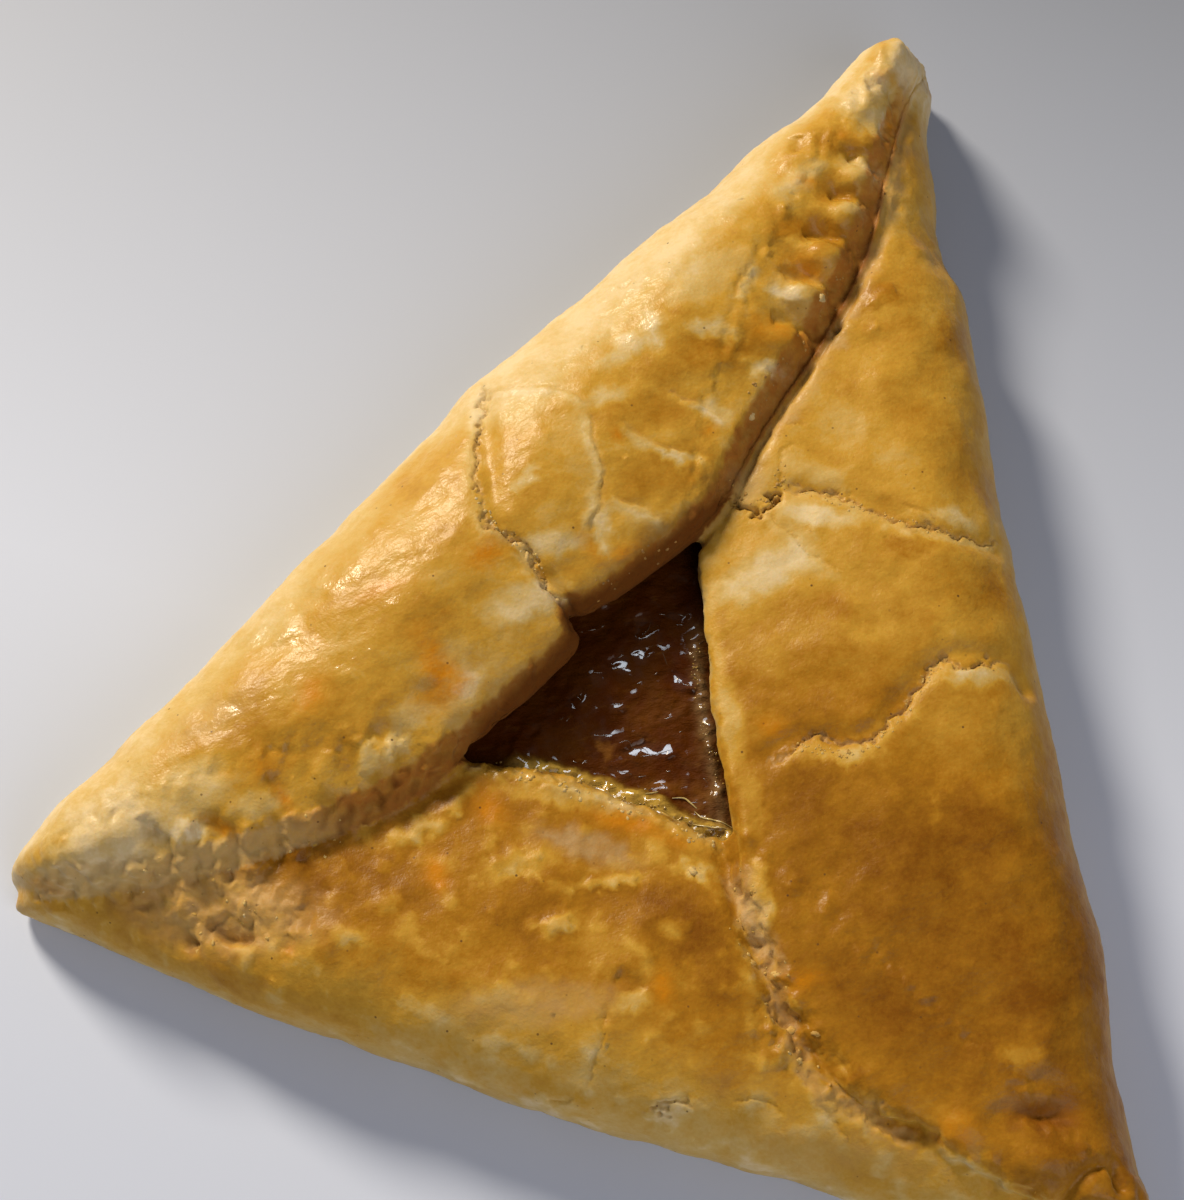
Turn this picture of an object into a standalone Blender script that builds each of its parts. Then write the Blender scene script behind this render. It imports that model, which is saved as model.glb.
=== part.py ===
"""A pineapple tart: one disc of pastry folded in three flaps over pineapple jam.

The tart lies flat on its base. The front flap lies lowest, the right flap over it, and the
long left flap over both, so that the three free edges leave a small triangular window of jam.
Lengths are in metres, +Z is up, and the origin is the middle of the base.
"""
import math

import bmesh
import bpy
from mathutils import Matrix, Vector, noise
from mathutils.geometry import area_tri, interpolate_bezier

MM = 0.001

# Driving dimensions
TART_SIDE = 120 * MM            # corner to corner, measured along one side
SHEET = 4 * MM                  # thickness of the rolled pastry under the jam
JAM_TOP = 9.8 * MM              # level of the jam in the middle of the window
JAM_TUCK = 8 * MM               # how far the jam runs in under the flaps
JAM_FALL = 0.5 * MM             # how much lower the jam lies a window's breadth further out
CLEARANCE = 0.5 * MM            # play between the jam and the pastry that holds it
FOOT_INSET = 3 * MM             # how far the flat base stays inside the widest outline
WAIST = 0.42                    # height of the widest outline, as a share of the crest's
ROLL_MOST = 0.55                # the fold's roll takes at most this share of a flap's width
LIP_MOST = 0.3                  # and the lip of the free edge this share
UNDERCUT = 0.5                  # how far the lip overhangs, as a share of its radius
SAG_POWER = 1.6                 # the top stays level by the crest and falls late to the edge
SWELL_POWER = 0.6               # the sides rise quickly from the corners and run level between
NOSE = 0.05                     # share of a flap's length in which each end closes to a nose
NOSE_LEAST = 0.35               # what is left of the height at the very end
BASE_SHARE = 0.9                # the base sheet reaches this far out, and the flaps the rest
BELOW = 1 * MM                  # the flaps reach this far below the base, and are cut off there
UNIT = TART_SIDE / 120          # the outlines below are written in 120ths of a side

# Outlines seen from above, as the few points that each curve passes through
LEFT_FOLD = ((-55.6, -54.8), (-51.2, -45.9), (-44.2, -30.6), (-35.4, -8.3), (-25.9, 11.9),
             (-15.5, 31.2), (-12.6, 37.8), (-8.9, 43.0), (-5.6, 51.8), (-2.6, 55.6))
RIGHT_FOLD = ((2.6, 54.4), (3.3, 47.4), (8.6, 33.6), (12.6, 28.4), (14.6, 23.6), (21.6, 8.1),
              (29.4, -7.0), (36.8, -22.0), (42.2, -31.0), (45.0, -39.6), (48.9, -47.2),
              (54.2, -54.0))
FRONT_FOLD = ((-54.8, -57.0), (-44.8, -58.2), (-25.0, -59.4), (-5.6, -59.9), (13.0, -59.4),
              (30.0, -58.2), (44.0, -57.8), (53.0, -57.2))
LEFT_EDGE = ((-49.8, -56.0), (-42.9, -52.9), (-34.4, -47.7), (-26.9, -42.0), (-21.9, -38.2),
             (-17.6, -32.1), (-13.6, -24.7), (-11.5, -20.0), (-12.9, -17.6), (-11.2, -16.2),
             (-8.2, -11.2), (-5.0, -3.3), (-3.9, 6.3), (-1.7, 16.0), (0.6, 26.9), (0.4, 37.0),
             (0.4, 46.0), (1.6, 54.6))
RIGHT_EDGE = ((-1.2, 54.0), (-4.5, 40.0), (-7.0, 24.0), (-7.6, 8.0), (-6.0, -3.0),
              (-4.4, -7.4), (-2.2, -12.8), (2.2, -23.0), (7.4, -33.0), (10.2, -37.6),
              (13.8, -42.0), (17.8, -46.2), (22.4, -49.3), (26.8, -51.6), (32.4, -53.0),
              (41.0, -54.6), (50.6, -56.4))
FRONT_EDGE = ((-51.6, -53.2), (-41.0, -44.0), (-30.0, -37.0), (-22.0, -33.6), (-15.0, -32.2),
              (-8.0, -31.5), (-1.0, -31.8), (3.6, -32.4), (8.6, -33.0), (16.0, -36.4),
              (27.0, -41.6), (40.0, -47.6), (51.6, -53.0))
WINDOW = ((-21.2, -36.2), (7.9, -34.0), (-4.6, -5.0))

# Splits in the crust, the seam of the right flap and pits, as lines and places seen from above
SPLITS = (
    ((1.4, 0.6), (6.0, 1.6), (11.0, 1.1), (16.9, 0.4), (22.3, 1.7)),
    ((7.9, -24.9), (10.3, -22.1), (15.6, -20.8), (17.5, -17.6), (20.3, -11.1), (25.9, -9.2),
     (28.7, -10.8)),
    ((-27.7, 0.8), (-26.3, -3.7), (-24.0, -8.3), (-22.3, -11.9), (-19.1, -14.0),
     (-12.4, -17.9)),
    ((36.2, -50.0), (37.2, -47.2), (39.0, -45.4), (41.0, -45.8), (42.6, -48.4)),
    ((6.6, -33.6), (9.2, -38.2), (12.8, -42.9), (16.9, -47.1), (21.8, -50.3), (27.0, -52.4),
     (32.0, -52.4)),
    ((43.4, -55.4), (44.4, -51.8), (46.6, -50.0), (48.4, -51.4)),
)
PITS = ((-32.8, -54.4), (-36.8, -56.0), (-31.3, -54.0), (-27.2, -51.6), (-35.1, -51.8),
        (-31.6, -50.1), (-39.4, -52.6))
SPLIT_DEPTH = 0.9 * MM
SPLIT_WIDTH = 0.6 * MM
PIT_DEPTH = 0.8 * MM
PIT_WIDTH = 1.3 * MM

# Unevenness of hand-rolled pastry and of chopped fruit: how high and how wide its swells are
PASTRY_SWELLS = ((0.70 * MM, 15 * MM), (0.25 * MM, 5 * MM))
JAM_SWELL = (0.45 * MM, 3.6 * MM)

# How finely the surfaces are cut up
STATIONS = 180                  # steps along each flap
FOOT_STEPS, ROLL_STEPS, TOP_STEPS, LIP_STEPS = 6, 12, 8, 7      # steps across each flap
BASE_STEPS = 24                 # steps along each side of the base sheet
CRUST_VOXEL = 0.62 * MM         # grain of the even mesh that fuses the three flaps
JAM_VOXEL = 1.0 * MM
CRUST_TRIANGLES = 8200          # of the crust before the jam is cut out of it
JAM_TRIANGLES = 2200


def smooth_curve(outline, steps=12):
    """Return the points of a smooth curve through an outline, with each point's run along it."""
    knots = [Vector((x * UNIT, y * UNIT)) for x, y in outline]
    padded = [knots[0]] + knots + [knots[-1]]
    points = [knots[0]]
    for before, start, end, after in zip(padded, padded[1:], padded[2:], padded[3:]):
        leave = start + (end - before) / 6
        arrive = end - (after - start) / 6
        points += interpolate_bezier(start, leave, arrive, end, steps)[1:]
    runs = [0.0]
    for first, second in zip(points, points[1:]):
        runs.append(runs[-1] + (second - first).length)
    return points, runs


def point_at(curve, fraction):
    """Return the point that lies a fraction of the whole run along a curve."""
    points, runs = curve
    goal = fraction * runs[-1]
    index = 1
    while runs[index] < goal and index < len(runs) - 1:
        index += 1
    span = max(runs[index] - runs[index - 1], 1e-9)
    share = min((goal - runs[index - 1]) / span, 1.0)
    return points[index - 1].lerp(points[index], share)


def flap_section(width, crest, edge, roll, lip):
    """Return a flap's cross-section as (inward, up) points, one closed round.

    It rises round the fold from the foot, over the crest, down to the free edge and round the
    lip, then back down and along under the base, so that a flap is solid down to the base.
    """
    waist = WAIST * crest
    roll = min(roll, ROLL_MOST * width)
    lip = min(lip, LIP_MOST * width, edge / 2)
    under = UNDERCUT * lip
    flat = width - lip - roll
    section = [(1.2 * FOOT_INSET, -BELOW)]
    for step in range(FOOT_STEPS + 1):
        turn = math.radians(90) * step / FOOT_STEPS
        section.append((FOOT_INSET * (1 - math.sin(turn)), waist * (1 - math.cos(turn))))
    for step in range(1, ROLL_STEPS + 1):
        turn = math.radians(90) * step / ROLL_STEPS
        section.append((roll * (1 - math.cos(turn)), waist + (crest - waist) * math.sin(turn)))
    for step in range(1, TOP_STEPS + 1):
        share = step / TOP_STEPS
        section.append((roll + flat * share, crest - (crest - edge) * share ** SAG_POWER))
    for step in range(1, LIP_STEPS + 1):
        turn = math.radians(90) * step / LIP_STEPS
        section.append((width - lip * (1 - math.sin(turn)), edge - lip * (1 - math.cos(turn))))
    section.append((width - under / 3, edge - lip - under / 2))
    section.append((width - under, edge - lip - under))
    section.append((width - under, -BELOW))
    section.append(section[0])
    return section


def swell(fraction):
    """Return 0 at both ends of a side and 1 in its middle, rising quickly from each end."""
    return math.sin(math.pi * min(max(fraction, 0.0), 1.0)) ** SWELL_POWER


def fullness(fraction):
    """Return how full a flap is: 1 along most of it, and less where its ends close in a nose."""
    near = min(fraction, 1 - fraction, NOSE) / NOSE
    return NOSE_LEAST + (1 - NOSE_LEAST) * math.sqrt(1 - (1 - near) ** 2)


def fork_mark(fraction, start, end, pitch):
    """Return 0 to 1 for the depth of the marks that a fork left along a stretch of an edge."""
    if not start < fraction < end:
        return 0.0
    fade = min(fraction - start, end - fraction, pitch) / pitch
    return fade * abs(math.cos(math.pi * (fraction - start) / pitch)) ** 3


def flap(name, fold, edge, crest, ends, drops, roll, lip, marks=()):
    """Make one flap: a grid wrapped round the cross-sections between its fold and its edge.

    crest is the height in the middle of the side and ends the heights at its two corners.
    Towards the free edge the top falls by drops, one for each corner. roll and lip round the
    fold and the edge, and marks are the stretches of the edge that a fork pressed.
    """
    fold_curve = smooth_curve(fold)
    edge_curve = smooth_curve(edge)
    stations = []
    for step in range(STATIONS + 1):
        fraction = step / STATIONS
        outer = point_at(fold_curve, fraction)
        across = point_at(edge_curve, fraction) - outer
        dent = sum(depth * fork_mark(fraction, start, end, pitch)
                   for start, end, pitch, depth in marks)
        corner = ends[0] + (ends[1] - ends[0]) * fraction
        height = (corner + (crest - corner) * swell(fraction)) * fullness(fraction)
        drop = drops[0] + (drops[1] - drops[0]) * fraction
        fall = drop * (1 + swell(fraction)) / 2 + dent
        section = flap_section(across.length - dent, height, height - fall, roll, lip)
        stations.append((outer, across.normalized(), section))
    rows = len(stations[0][2]) - 1
    bm = bmesh.new()
    bmesh.ops.create_grid(bm, x_segments=STATIONS, y_segments=rows, size=0.5)
    for vert in bm.verts:
        outer, inward, section = stations[round((vert.co.x + 0.5) * STATIONS)]
        reach, height = section[round((vert.co.y + 0.5) * rows)]
        place = outer + inward * reach
        vert.co = (place.x, place.y, height)
    bmesh.ops.remove_doubles(bm, verts=bm.verts, dist=0.001 * MM)
    close_up(bm)
    return new_object(name, bm)


def base_sheet():
    """Make the sheet that lies under the jam, as wide as the three folds leave room for."""
    outline = []
    for fold in (LEFT_FOLD, RIGHT_FOLD, FRONT_FOLD[::-1]):
        curve = smooth_curve(fold)
        outline += [point_at(curve, step / BASE_STEPS) for step in range(1, BASE_STEPS)]
    middle = sum(outline, Vector((0, 0))) / len(outline)
    inner = [middle.lerp(point, BASE_SHARE) for point in outline]
    return new_object("base_sheet", slab(inner, -BELOW, SHEET))


def slab(outline, bottom, top):
    """Return an upright slab as a bmesh: an outline seen from above, and its two levels."""
    bm = bmesh.new()
    floor = bm.faces.new([bm.verts.new((point.x, point.y, bottom)) for point in outline])
    lifted = bmesh.ops.extrude_face_region(bm, geom=[floor])["geom"]
    raised = [part for part in lifted if isinstance(part, bmesh.types.BMVert)]
    bmesh.ops.translate(bm, verts=raised, vec=(0, 0, top - bottom))
    bmesh.ops.recalc_face_normals(bm, faces=bm.faces)
    return bm


def close_up(bm):
    """Fill every open rim and turn all the faces outwards."""
    rims = [edge for edge in bm.edges if edge.is_boundary]
    if rims:
        bmesh.ops.holes_fill(bm, edges=rims, sides=0)
    bmesh.ops.recalc_face_normals(bm, faces=bm.faces)


def new_object(name, bm):
    """Turn a bmesh into an object of the scene."""
    mesh = bpy.data.meshes.new(name)
    bm.to_mesh(mesh)
    bm.free()
    thing = bpy.data.objects.new(name, mesh)
    bpy.context.scene.collection.objects.link(thing)
    return thing


def settle(thing):
    """Apply the modifiers of an object to its mesh."""
    evaluated = thing.evaluated_get(bpy.context.evaluated_depsgraph_get())
    mesh = bpy.data.meshes.new_from_object(evaluated)
    thing.modifiers.clear()
    thing.data = mesh


def combine(thing, other, operation):
    """Join another solid to an object, or cut it out, and remove that other solid."""
    boolean = thing.modifiers.new(operation, "BOOLEAN")
    boolean.operation = operation
    boolean.solver = "EXACT"
    boolean.object = other
    settle(thing)
    bpy.data.objects.remove(other)


def even_out(thing, voxel, rounds):
    """Give an object one even skin, and smooth it."""
    remesh = thing.modifiers.new("even", "REMESH")
    remesh.mode = "VOXEL"
    remesh.voxel_size = voxel
    smooth = thing.modifiers.new("soften", "SMOOTH")
    smooth.factor = 0.5
    smooth.iterations = rounds
    settle(thing)


def thin_out(thing, triangles):
    """Collapse the short edges of an object until it has about so many triangles."""
    triangle_count = sum(len(face.vertices) - 2 for face in thing.data.polygons)
    decimate = thing.modifiers.new("thin", "DECIMATE")
    decimate.ratio = triangles / triangle_count
    decimate.use_collapse_triangulate = True
    settle(thing)


def distance_to(points, place):
    """Return how far a place lies from a line of points, seen from above."""
    nearest = 1.0
    for first, second in zip(points, points[1:]):
        side = second - first
        share = (place - first).dot(side) / max(side.length_squared, 1e-12)
        share = min(max(share, 0.0), 1.0)
        nearest = min(nearest, (place - first - side * share).length)
    return nearest


def crust_relief(place, splits, pits):
    """Return how far the crust stands out at a place: its unevenness, less its splits and pits."""
    relief = sum(height * noise.noise(place / width) for height, width in PASTRY_SWELLS)
    flat = place.to_2d()
    for points, low, high in splits:
        if low.x < flat.x < high.x and low.y < flat.y < high.y:
            relief -= SPLIT_DEPTH * math.exp(-(distance_to(points, flat) / SPLIT_WIDTH) ** 2)
    for pit in pits:
        away = (flat - pit).length
        if away < 3 * PIT_WIDTH:
            relief -= PIT_DEPTH * math.exp(-(away / PIT_WIDTH) ** 2)
    return relief


def press_crust(thing):
    """Give the fused crust its hand-worked unevenness, its splits and its pits."""
    splits = []
    for outline in SPLITS:
        points = smooth_curve(outline, 4)[0]
        margin = Vector((1, 1)) * 3 * SPLIT_WIDTH
        low = Vector((min(point.x for point in points), min(point.y for point in points)))
        high = Vector((max(point.x for point in points), max(point.y for point in points)))
        splits.append((points, low - margin, high + margin))
    pits = [Vector(pit) * UNIT for pit in PITS]
    normals = [vert.normal.copy() for vert in thing.data.vertices]
    for vert, normal in zip(thing.data.vertices, normals):
        if vert.co.z > 0.5 * MM:
            vert.co += normal * crust_relief(vert.co, splits, pits)


def cut_base(thing):
    """Cut an object off flat at the base, and fill the cut."""
    bm = bmesh.new()
    bm.from_mesh(thing.data)
    everything = bm.verts[:] + bm.edges[:] + bm.faces[:]
    bmesh.ops.bisect_plane(bm, geom=everything, dist=0.08 * MM, plane_co=(0, 0, 0),
                           plane_no=(0, 0, 1), clear_inner=True)
    close_up(bm)
    bmesh.ops.triangulate(bm, faces=bm.faces[:])
    bm.to_mesh(thing.data)
    bm.free()


def make_crust():
    """Make the pastry: three flaps fused on their base sheet, as one solid."""
    crust = base_sheet()
    crust.name = "crust"
    fork = ((0.68, 0.94, 0.0335, 1.3 * MM), (0.06, 0.36, 0.035, 0.6 * MM))
    front = flap("front", FRONT_FOLD, FRONT_EDGE, 13.2 * MM, (6.4 * MM, 4.6 * MM),
                 (1.0 * MM, 1.0 * MM), 9 * MM, 1.6 * MM)
    right = flap("right", RIGHT_FOLD, RIGHT_EDGE, 15.8 * MM, (8.4 * MM, 10.4 * MM),
                 (3.0 * MM, 1.0 * MM), 9 * MM, 1.6 * MM)
    left = flap("left", LEFT_FOLD, LEFT_EDGE, 18.4 * MM, (9.8 * MM, 12.4 * MM),
                (1.8 * MM, 1.4 * MM), 14 * MM, 3.6 * MM, fork)
    for other in (front, right, left):
        combine(crust, other, "UNION")
    even_out(crust, CRUST_VOXEL, 2)
    press_crust(crust)
    thin_out(crust, CRUST_TRIANGLES)
    cut_base(crust)
    return crust


def make_jam():
    """Make the jam: a low mound that fills the window and runs in under the three flaps."""
    corners = [Vector((x, y)) * UNIT for x, y in WINDOW]
    middle = sum(corners, Vector((0, 0))) / 3
    rim = sum((corners[turn] - corners[turn - 1]).length for turn in range(3))
    inradius = 2 * area_tri(*corners) / rim
    tucked = [middle + (corner - middle) * (1 + JAM_TUCK / inradius) for corner in corners]
    bm = slab(tucked, SHEET + CLEARANCE, JAM_TOP)
    posts = [edge for edge in bm.edges if abs(edge.verts[0].co.z - edge.verts[1].co.z) > MM]
    bmesh.ops.bevel(bm, geom=posts, offset=JAM_TUCK, segments=5, profile=0.5, affect="EDGES",
                    material=-1)
    jam = new_object("jam", bm)
    even_out(jam, JAM_VOXEL, 6)
    height, width = JAM_SWELL
    for vert in jam.data.vertices:
        if vert.co.z > JAM_TOP - 2 * MM:
            away = max((vert.co.to_2d() - middle).length - inradius, 0.0)
            vert.co.z += height * noise.noise(vert.co / width) - JAM_FALL * (away / inradius) ** 2
    return jam


def fit_jam(crust, jam):
    """Cut the jam's place, with its play all round, out of the crust."""
    place = bpy.data.objects.new("jam_place", jam.data.copy())
    bpy.context.scene.collection.objects.link(place)
    normals = [vert.normal.copy() for vert in place.data.vertices]
    for vert, normal in zip(place.data.vertices, normals):
        vert.co += normal * CLEARANCE
    even_out(place, JAM_VOXEL, 1)
    thin_out(place, JAM_TRIANGLES)
    combine(crust, place, "DIFFERENCE")
    thin_out(jam, JAM_TRIANGLES)


def stand_on_origin(things):
    """Move the whole tart so that the middle of its base is the origin."""
    corners = [vert.co for thing in things for vert in thing.data.vertices]
    low = Vector([min(corner[axis] for corner in corners) for axis in range(3)])
    high = Vector([max(corner[axis] for corner in corners) for axis in range(3)])
    shift = Vector((-(low.x + high.x) / 2, -(low.y + high.y) / 2, -low.z))
    print("moved by", [round(value / MM, 2) for value in shift],
          "size", [round(value / MM, 2) for value in high - low])
    for thing in things:
        thing.data.transform(Matrix.Translation(shift))


def paint(thing, name, colour, roughness):
    """Give an object a plain material of its own."""
    material = bpy.data.materials.new(name)
    material.use_nodes = True
    shader = material.node_tree.nodes["Principled BSDF"]
    shader.inputs["Base Color"].default_value = (*colour, 1.0)
    shader.inputs["Roughness"].default_value = roughness
    shader.inputs["Metallic"].default_value = 0.0
    thing.data.materials.clear()
    thing.data.materials.append(material)
    thing.data.shade_smooth()


def main():
    """Build the tart in an empty scene."""
    for thing in list(bpy.data.objects):
        bpy.data.objects.remove(thing)
    crust = make_crust()
    jam = make_jam()
    fit_jam(crust, jam)
    stand_on_origin([crust, jam])
    paint(crust, "golden_crust", (0.62, 0.40, 0.16), 0.6)
    paint(jam, "pineapple_jam", (0.10, 0.035, 0.008), 0.15)


main()
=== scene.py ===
# %% [markdown]
# # A pineapple tart
# This lesson dresses a plain solid of a folded pastry tart until it looks freshly baked.
# The solid gives every size and place. It has two nodes, the crust and the jam, and the looks
# are built from fine copies of them, so nothing has to be fitted afterwards.

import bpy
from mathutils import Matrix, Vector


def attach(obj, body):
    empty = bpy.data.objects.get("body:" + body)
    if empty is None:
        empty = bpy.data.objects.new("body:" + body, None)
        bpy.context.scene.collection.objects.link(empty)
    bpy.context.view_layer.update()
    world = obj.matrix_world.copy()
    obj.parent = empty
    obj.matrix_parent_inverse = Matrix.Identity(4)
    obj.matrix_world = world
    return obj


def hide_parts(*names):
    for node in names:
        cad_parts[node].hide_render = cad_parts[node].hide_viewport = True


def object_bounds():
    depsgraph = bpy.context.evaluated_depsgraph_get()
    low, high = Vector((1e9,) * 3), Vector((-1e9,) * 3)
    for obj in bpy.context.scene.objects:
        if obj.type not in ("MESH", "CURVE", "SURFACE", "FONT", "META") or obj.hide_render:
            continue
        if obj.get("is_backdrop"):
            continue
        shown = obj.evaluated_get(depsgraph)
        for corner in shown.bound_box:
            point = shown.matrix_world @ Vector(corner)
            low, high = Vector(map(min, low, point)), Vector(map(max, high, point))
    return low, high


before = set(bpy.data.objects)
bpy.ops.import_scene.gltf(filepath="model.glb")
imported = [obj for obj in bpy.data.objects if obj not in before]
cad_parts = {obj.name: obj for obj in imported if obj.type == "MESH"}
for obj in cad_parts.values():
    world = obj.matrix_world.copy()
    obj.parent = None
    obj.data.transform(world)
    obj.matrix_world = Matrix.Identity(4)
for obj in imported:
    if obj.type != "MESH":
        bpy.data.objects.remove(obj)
cad_box = [list(corner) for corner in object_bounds()]
print("the CAD box in metres:", cad_box)

# %% Tools used below
import math
import random
from collections import namedtuple

import bmesh
import bpy
import numpy as np
from mathutils import Matrix, Vector, noise
from mathutils.bvhtree import BVHTree
from mathutils.geometry import interpolate_bezier

MM = 0.001
random.seed(11)


def add_object(name, data):
    """Add an object with its data to the scene."""
    thing = bpy.data.objects.new(name, data)
    bpy.context.scene.collection.objects.link(thing)
    return thing


# %% [markdown]
# ## Where the camera stands
# The photograph looks down on the tart from close by, over its front side and a little from the
# right. A camera is easiest to place by a target, an elevation and an azimuth, because these are
# the three things that one can judge from a picture.

# %% Camera
TARGET = Vector((-12.74, -7.82, 0.0)) * MM
ELEVATION = math.radians(68)
AZIMUTH = math.radians(18.5)
DISTANCE = 272 * MM
LENS = 84                       # in millimetres, on a 36 mm sensor

backwards = Vector((math.sin(AZIMUTH) * math.cos(ELEVATION),
                    -math.cos(AZIMUTH) * math.cos(ELEVATION), math.sin(ELEVATION)))
camera = add_object("camera", bpy.data.cameras.new("camera"))
camera.location = TARGET + backwards * DISTANCE
camera.rotation_euler = (-backwards).to_track_quat("-Z", "Y").to_euler()
camera.data.lens = LENS
camera.data.sensor_width = 36
camera.data.clip_start = 0.005
bpy.context.scene.camera = camera
print("camera at", [round(value, 3) for value in camera.location])

# %% [markdown]
# ## A material from small nodes
# A node tree is quicker to read when each node takes one line, so a helper adds a node, sets its
# properties and plugs other nodes into its inputs.

# %% Node helper
class Recipe:
    """A material whose nodes are added one line at a time."""

    def __init__(self, name):
        self.material = bpy.data.materials.new(name)
        self.material.use_nodes = True
        self.tree = self.material.node_tree
        self.shader = self.tree.nodes["Principled BSDF"]
        self.here = self.add("ShaderNodeTexCoord").outputs["Object"]

    def add(self, kind, settings=(), **inputs):
        """Add a node; inputs are numbers, colours or the outputs of other nodes."""
        made = self.tree.nodes.new(kind)
        for key, value in dict(settings).items():
            setattr(made, key, value)
        for key, value in inputs.items():
            self.plug(made.inputs[key.replace("_", " ")], value)
        return made

    def plug(self, socket, value):
        """Link an output to a socket, or set the socket's own value."""
        if isinstance(value, bpy.types.NodeSocket):
            self.tree.links.new(value, socket)
        else:
            socket.default_value = value

    def noise(self, width, detail=2.0, roughness=0.5, turn=0, stretch=1.0):
        """Return noise from 0 to 1 whose swells are so many mm wide, and may be stretched."""
        where = self.add("ShaderNodeMapping", {"vector_type": "TEXTURE"}, Vector=self.here,
                         Rotation=(0, 0, math.radians(turn)), Scale=(stretch, 1, 1)).outputs[0]
        made = self.add("ShaderNodeTexNoise", Vector=where, Scale=1 / (width * MM),
                        Detail=detail, Roughness=roughness)
        return made.outputs["Fac"]

    def mark(self, name):
        """Return what was written on the vertices under a name."""
        return self.add("ShaderNodeAttribute", {"attribute_name": name}).outputs["Fac"]

    def math(self, operation, first, second=0.0, clamp=False):
        """Return the result of a sum on one or two numbers."""
        made = self.add("ShaderNodeMath", {"operation": operation, "use_clamp": clamp})
        self.plug(made.inputs[0], first)
        self.plug(made.inputs[1], second)
        return made.outputs[0]

    def spread(self, value, low, high, new_low=0.0, new_high=1.0):
        """Return a value stretched from one range to another, and held within it."""
        made = self.add("ShaderNodeMapRange", Value=value, From_Min=low, From_Max=high,
                        To_Min=new_low, To_Max=new_high)
        return made.outputs[0]

    def mix(self, share, first, second):
        """Return two colours mixed by a share."""
        made = self.add("ShaderNodeMix", {"data_type": "RGBA"})
        self.plug(made.inputs[0], share)
        self.plug(made.inputs[6], first)
        self.plug(made.inputs[7], second)
        return made.outputs[2]

    def ramp(self, value, *stops):
        """Return a colour from a ramp of (place, colour) stops."""
        made = self.add("ShaderNodeValToRGB", Fac=value)
        made.color_ramp.elements.remove(made.color_ramp.elements[0])
        made.color_ramp.elements[0].position = stops[0][0]
        made.color_ramp.elements[0].color = (*stops[0][1], 1.0)
        for place, colour in stops[1:]:
            made.color_ramp.elements.new(place).color = (*colour, 1.0)
        return made.outputs["Color"]

    def bump(self, height, distance, strength=1.0, under=None):
        """Return a normal that follows a height; distance is its rise in millimetres."""
        made = self.add("ShaderNodeBump", Height=height, Distance=distance * MM,
                        Strength=strength)
        if under is not None:
            self.plug(made.inputs["Normal"], under)
        return made.outputs["Normal"]

    def finish(self, **inputs):
        """Plug the last values into the shader and return the material."""
        for key, value in inputs.items():
            self.plug(self.shader.inputs[key.replace("_", " ")], value)
        return self.material


# %% [markdown]
# ## Light and floor
# A warm window light comes low from the back left. It models every bump of the crust, and it
# leaves the free edges of the flaps, which face the other way, in shade. A wide light from the
# camera's side and a dim grey sky fill that shade. A wide cool light at the back is linked to the
# jam alone, where it glints; the matt crust would only turn milky under it. The floor is pale,
# and painted shade darkens its colour softly towards the back.

# %% Lights
def area_light(name, place, size, power, colour):
    """Add a round area light that looks at the middle of the tart."""
    lamp = bpy.data.lights.new(name, "AREA")
    lamp.shape = "DISK"
    lamp.size = size
    lamp.energy = power
    lamp.color = colour
    thing = add_object(name, lamp)
    thing.location = place
    thing.rotation_euler = (-thing.location).to_track_quat("-Z", "Y").to_euler()
    return thing


area_light("window_light", (-0.55, 0.38, 0.44), 0.20, 8.2, (1.0, 0.87, 0.66))
area_light("fill_light", (0.42, -0.38, 0.50), 0.6, 2.1, (1.0, 0.94, 0.88))
glints = area_light("glint_light", (-0.26, 0.38, 0.43), 0.26, 2.8, (0.80, 0.90, 1.0))
JAM_PIECES = bpy.data.collections.new("jam_pieces")
glints.light_linking.receiver_collection = JAM_PIECES

world = bpy.data.worlds.new("studio")
bpy.context.scene.world = world
world.use_nodes = True
world.node_tree.nodes["Background"].inputs["Color"].default_value = (0.85, 0.84, 0.86, 1.0)
world.node_tree.nodes["Background"].inputs["Strength"].default_value = 0.15
bpy.context.scene.view_settings.view_transform = "Standard"

# %% Floor
PALE_GREY = (0.60, 0.67, 0.86, 1.0)
FLOOR_SHADE_GREY = (0.25, 0.28, 0.36, 1.0)


def floor_finish():
    """Return a pale floor material whose colour darkens softly towards the back as painted shade.
    """
    mix = Recipe("pale_floor")
    behind = mix.add("ShaderNodeSeparateXYZ", Vector=mix.here).outputs["Y"]
    # painted shade: the floor's colour darkens from the front to the back
    shade = mix.spread(behind, -20 * MM, 80 * MM)
    return mix.finish(Base_Color=mix.mix(shade, PALE_GREY, FLOOR_SHADE_GREY), Roughness=0.6)


floor_mesh = bpy.data.meshes.new("floor")
floor_mesh.from_pydata([(-3, -3, 0), (3, -3, 0), (3, 3, 0), (-3, 3, 0)], [], [(0, 1, 2, 3)])
floor_mesh.materials.append(floor_finish())
add_object("floor", floor_mesh)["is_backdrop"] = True
print("three lights and a floor")

# %% [markdown]
# ## Fine copies of the solids
# The solid crust has about ten thousand triangles, enough for its folds but not for crumbs. A
# voxel remesh of a copy gives small even faces everywhere, and a few rounds of smoothing take
# the old facets away. The copy's doubles are merged first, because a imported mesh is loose
# triangles and a remesh needs a closed skin.

# %% Copy a node finely
def new_piece(name, mesh):
    """Add a piece to the scene, riding on the tart's one body."""
    piece = add_object(name, mesh)
    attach(piece, "root")
    return piece


def settle(piece):
    """Apply the modifiers of a piece to its mesh."""
    evaluated = piece.evaluated_get(bpy.context.evaluated_depsgraph_get())
    mesh = bpy.data.meshes.new_from_object(evaluated)
    piece.modifiers.clear()
    piece.data = mesh


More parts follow.
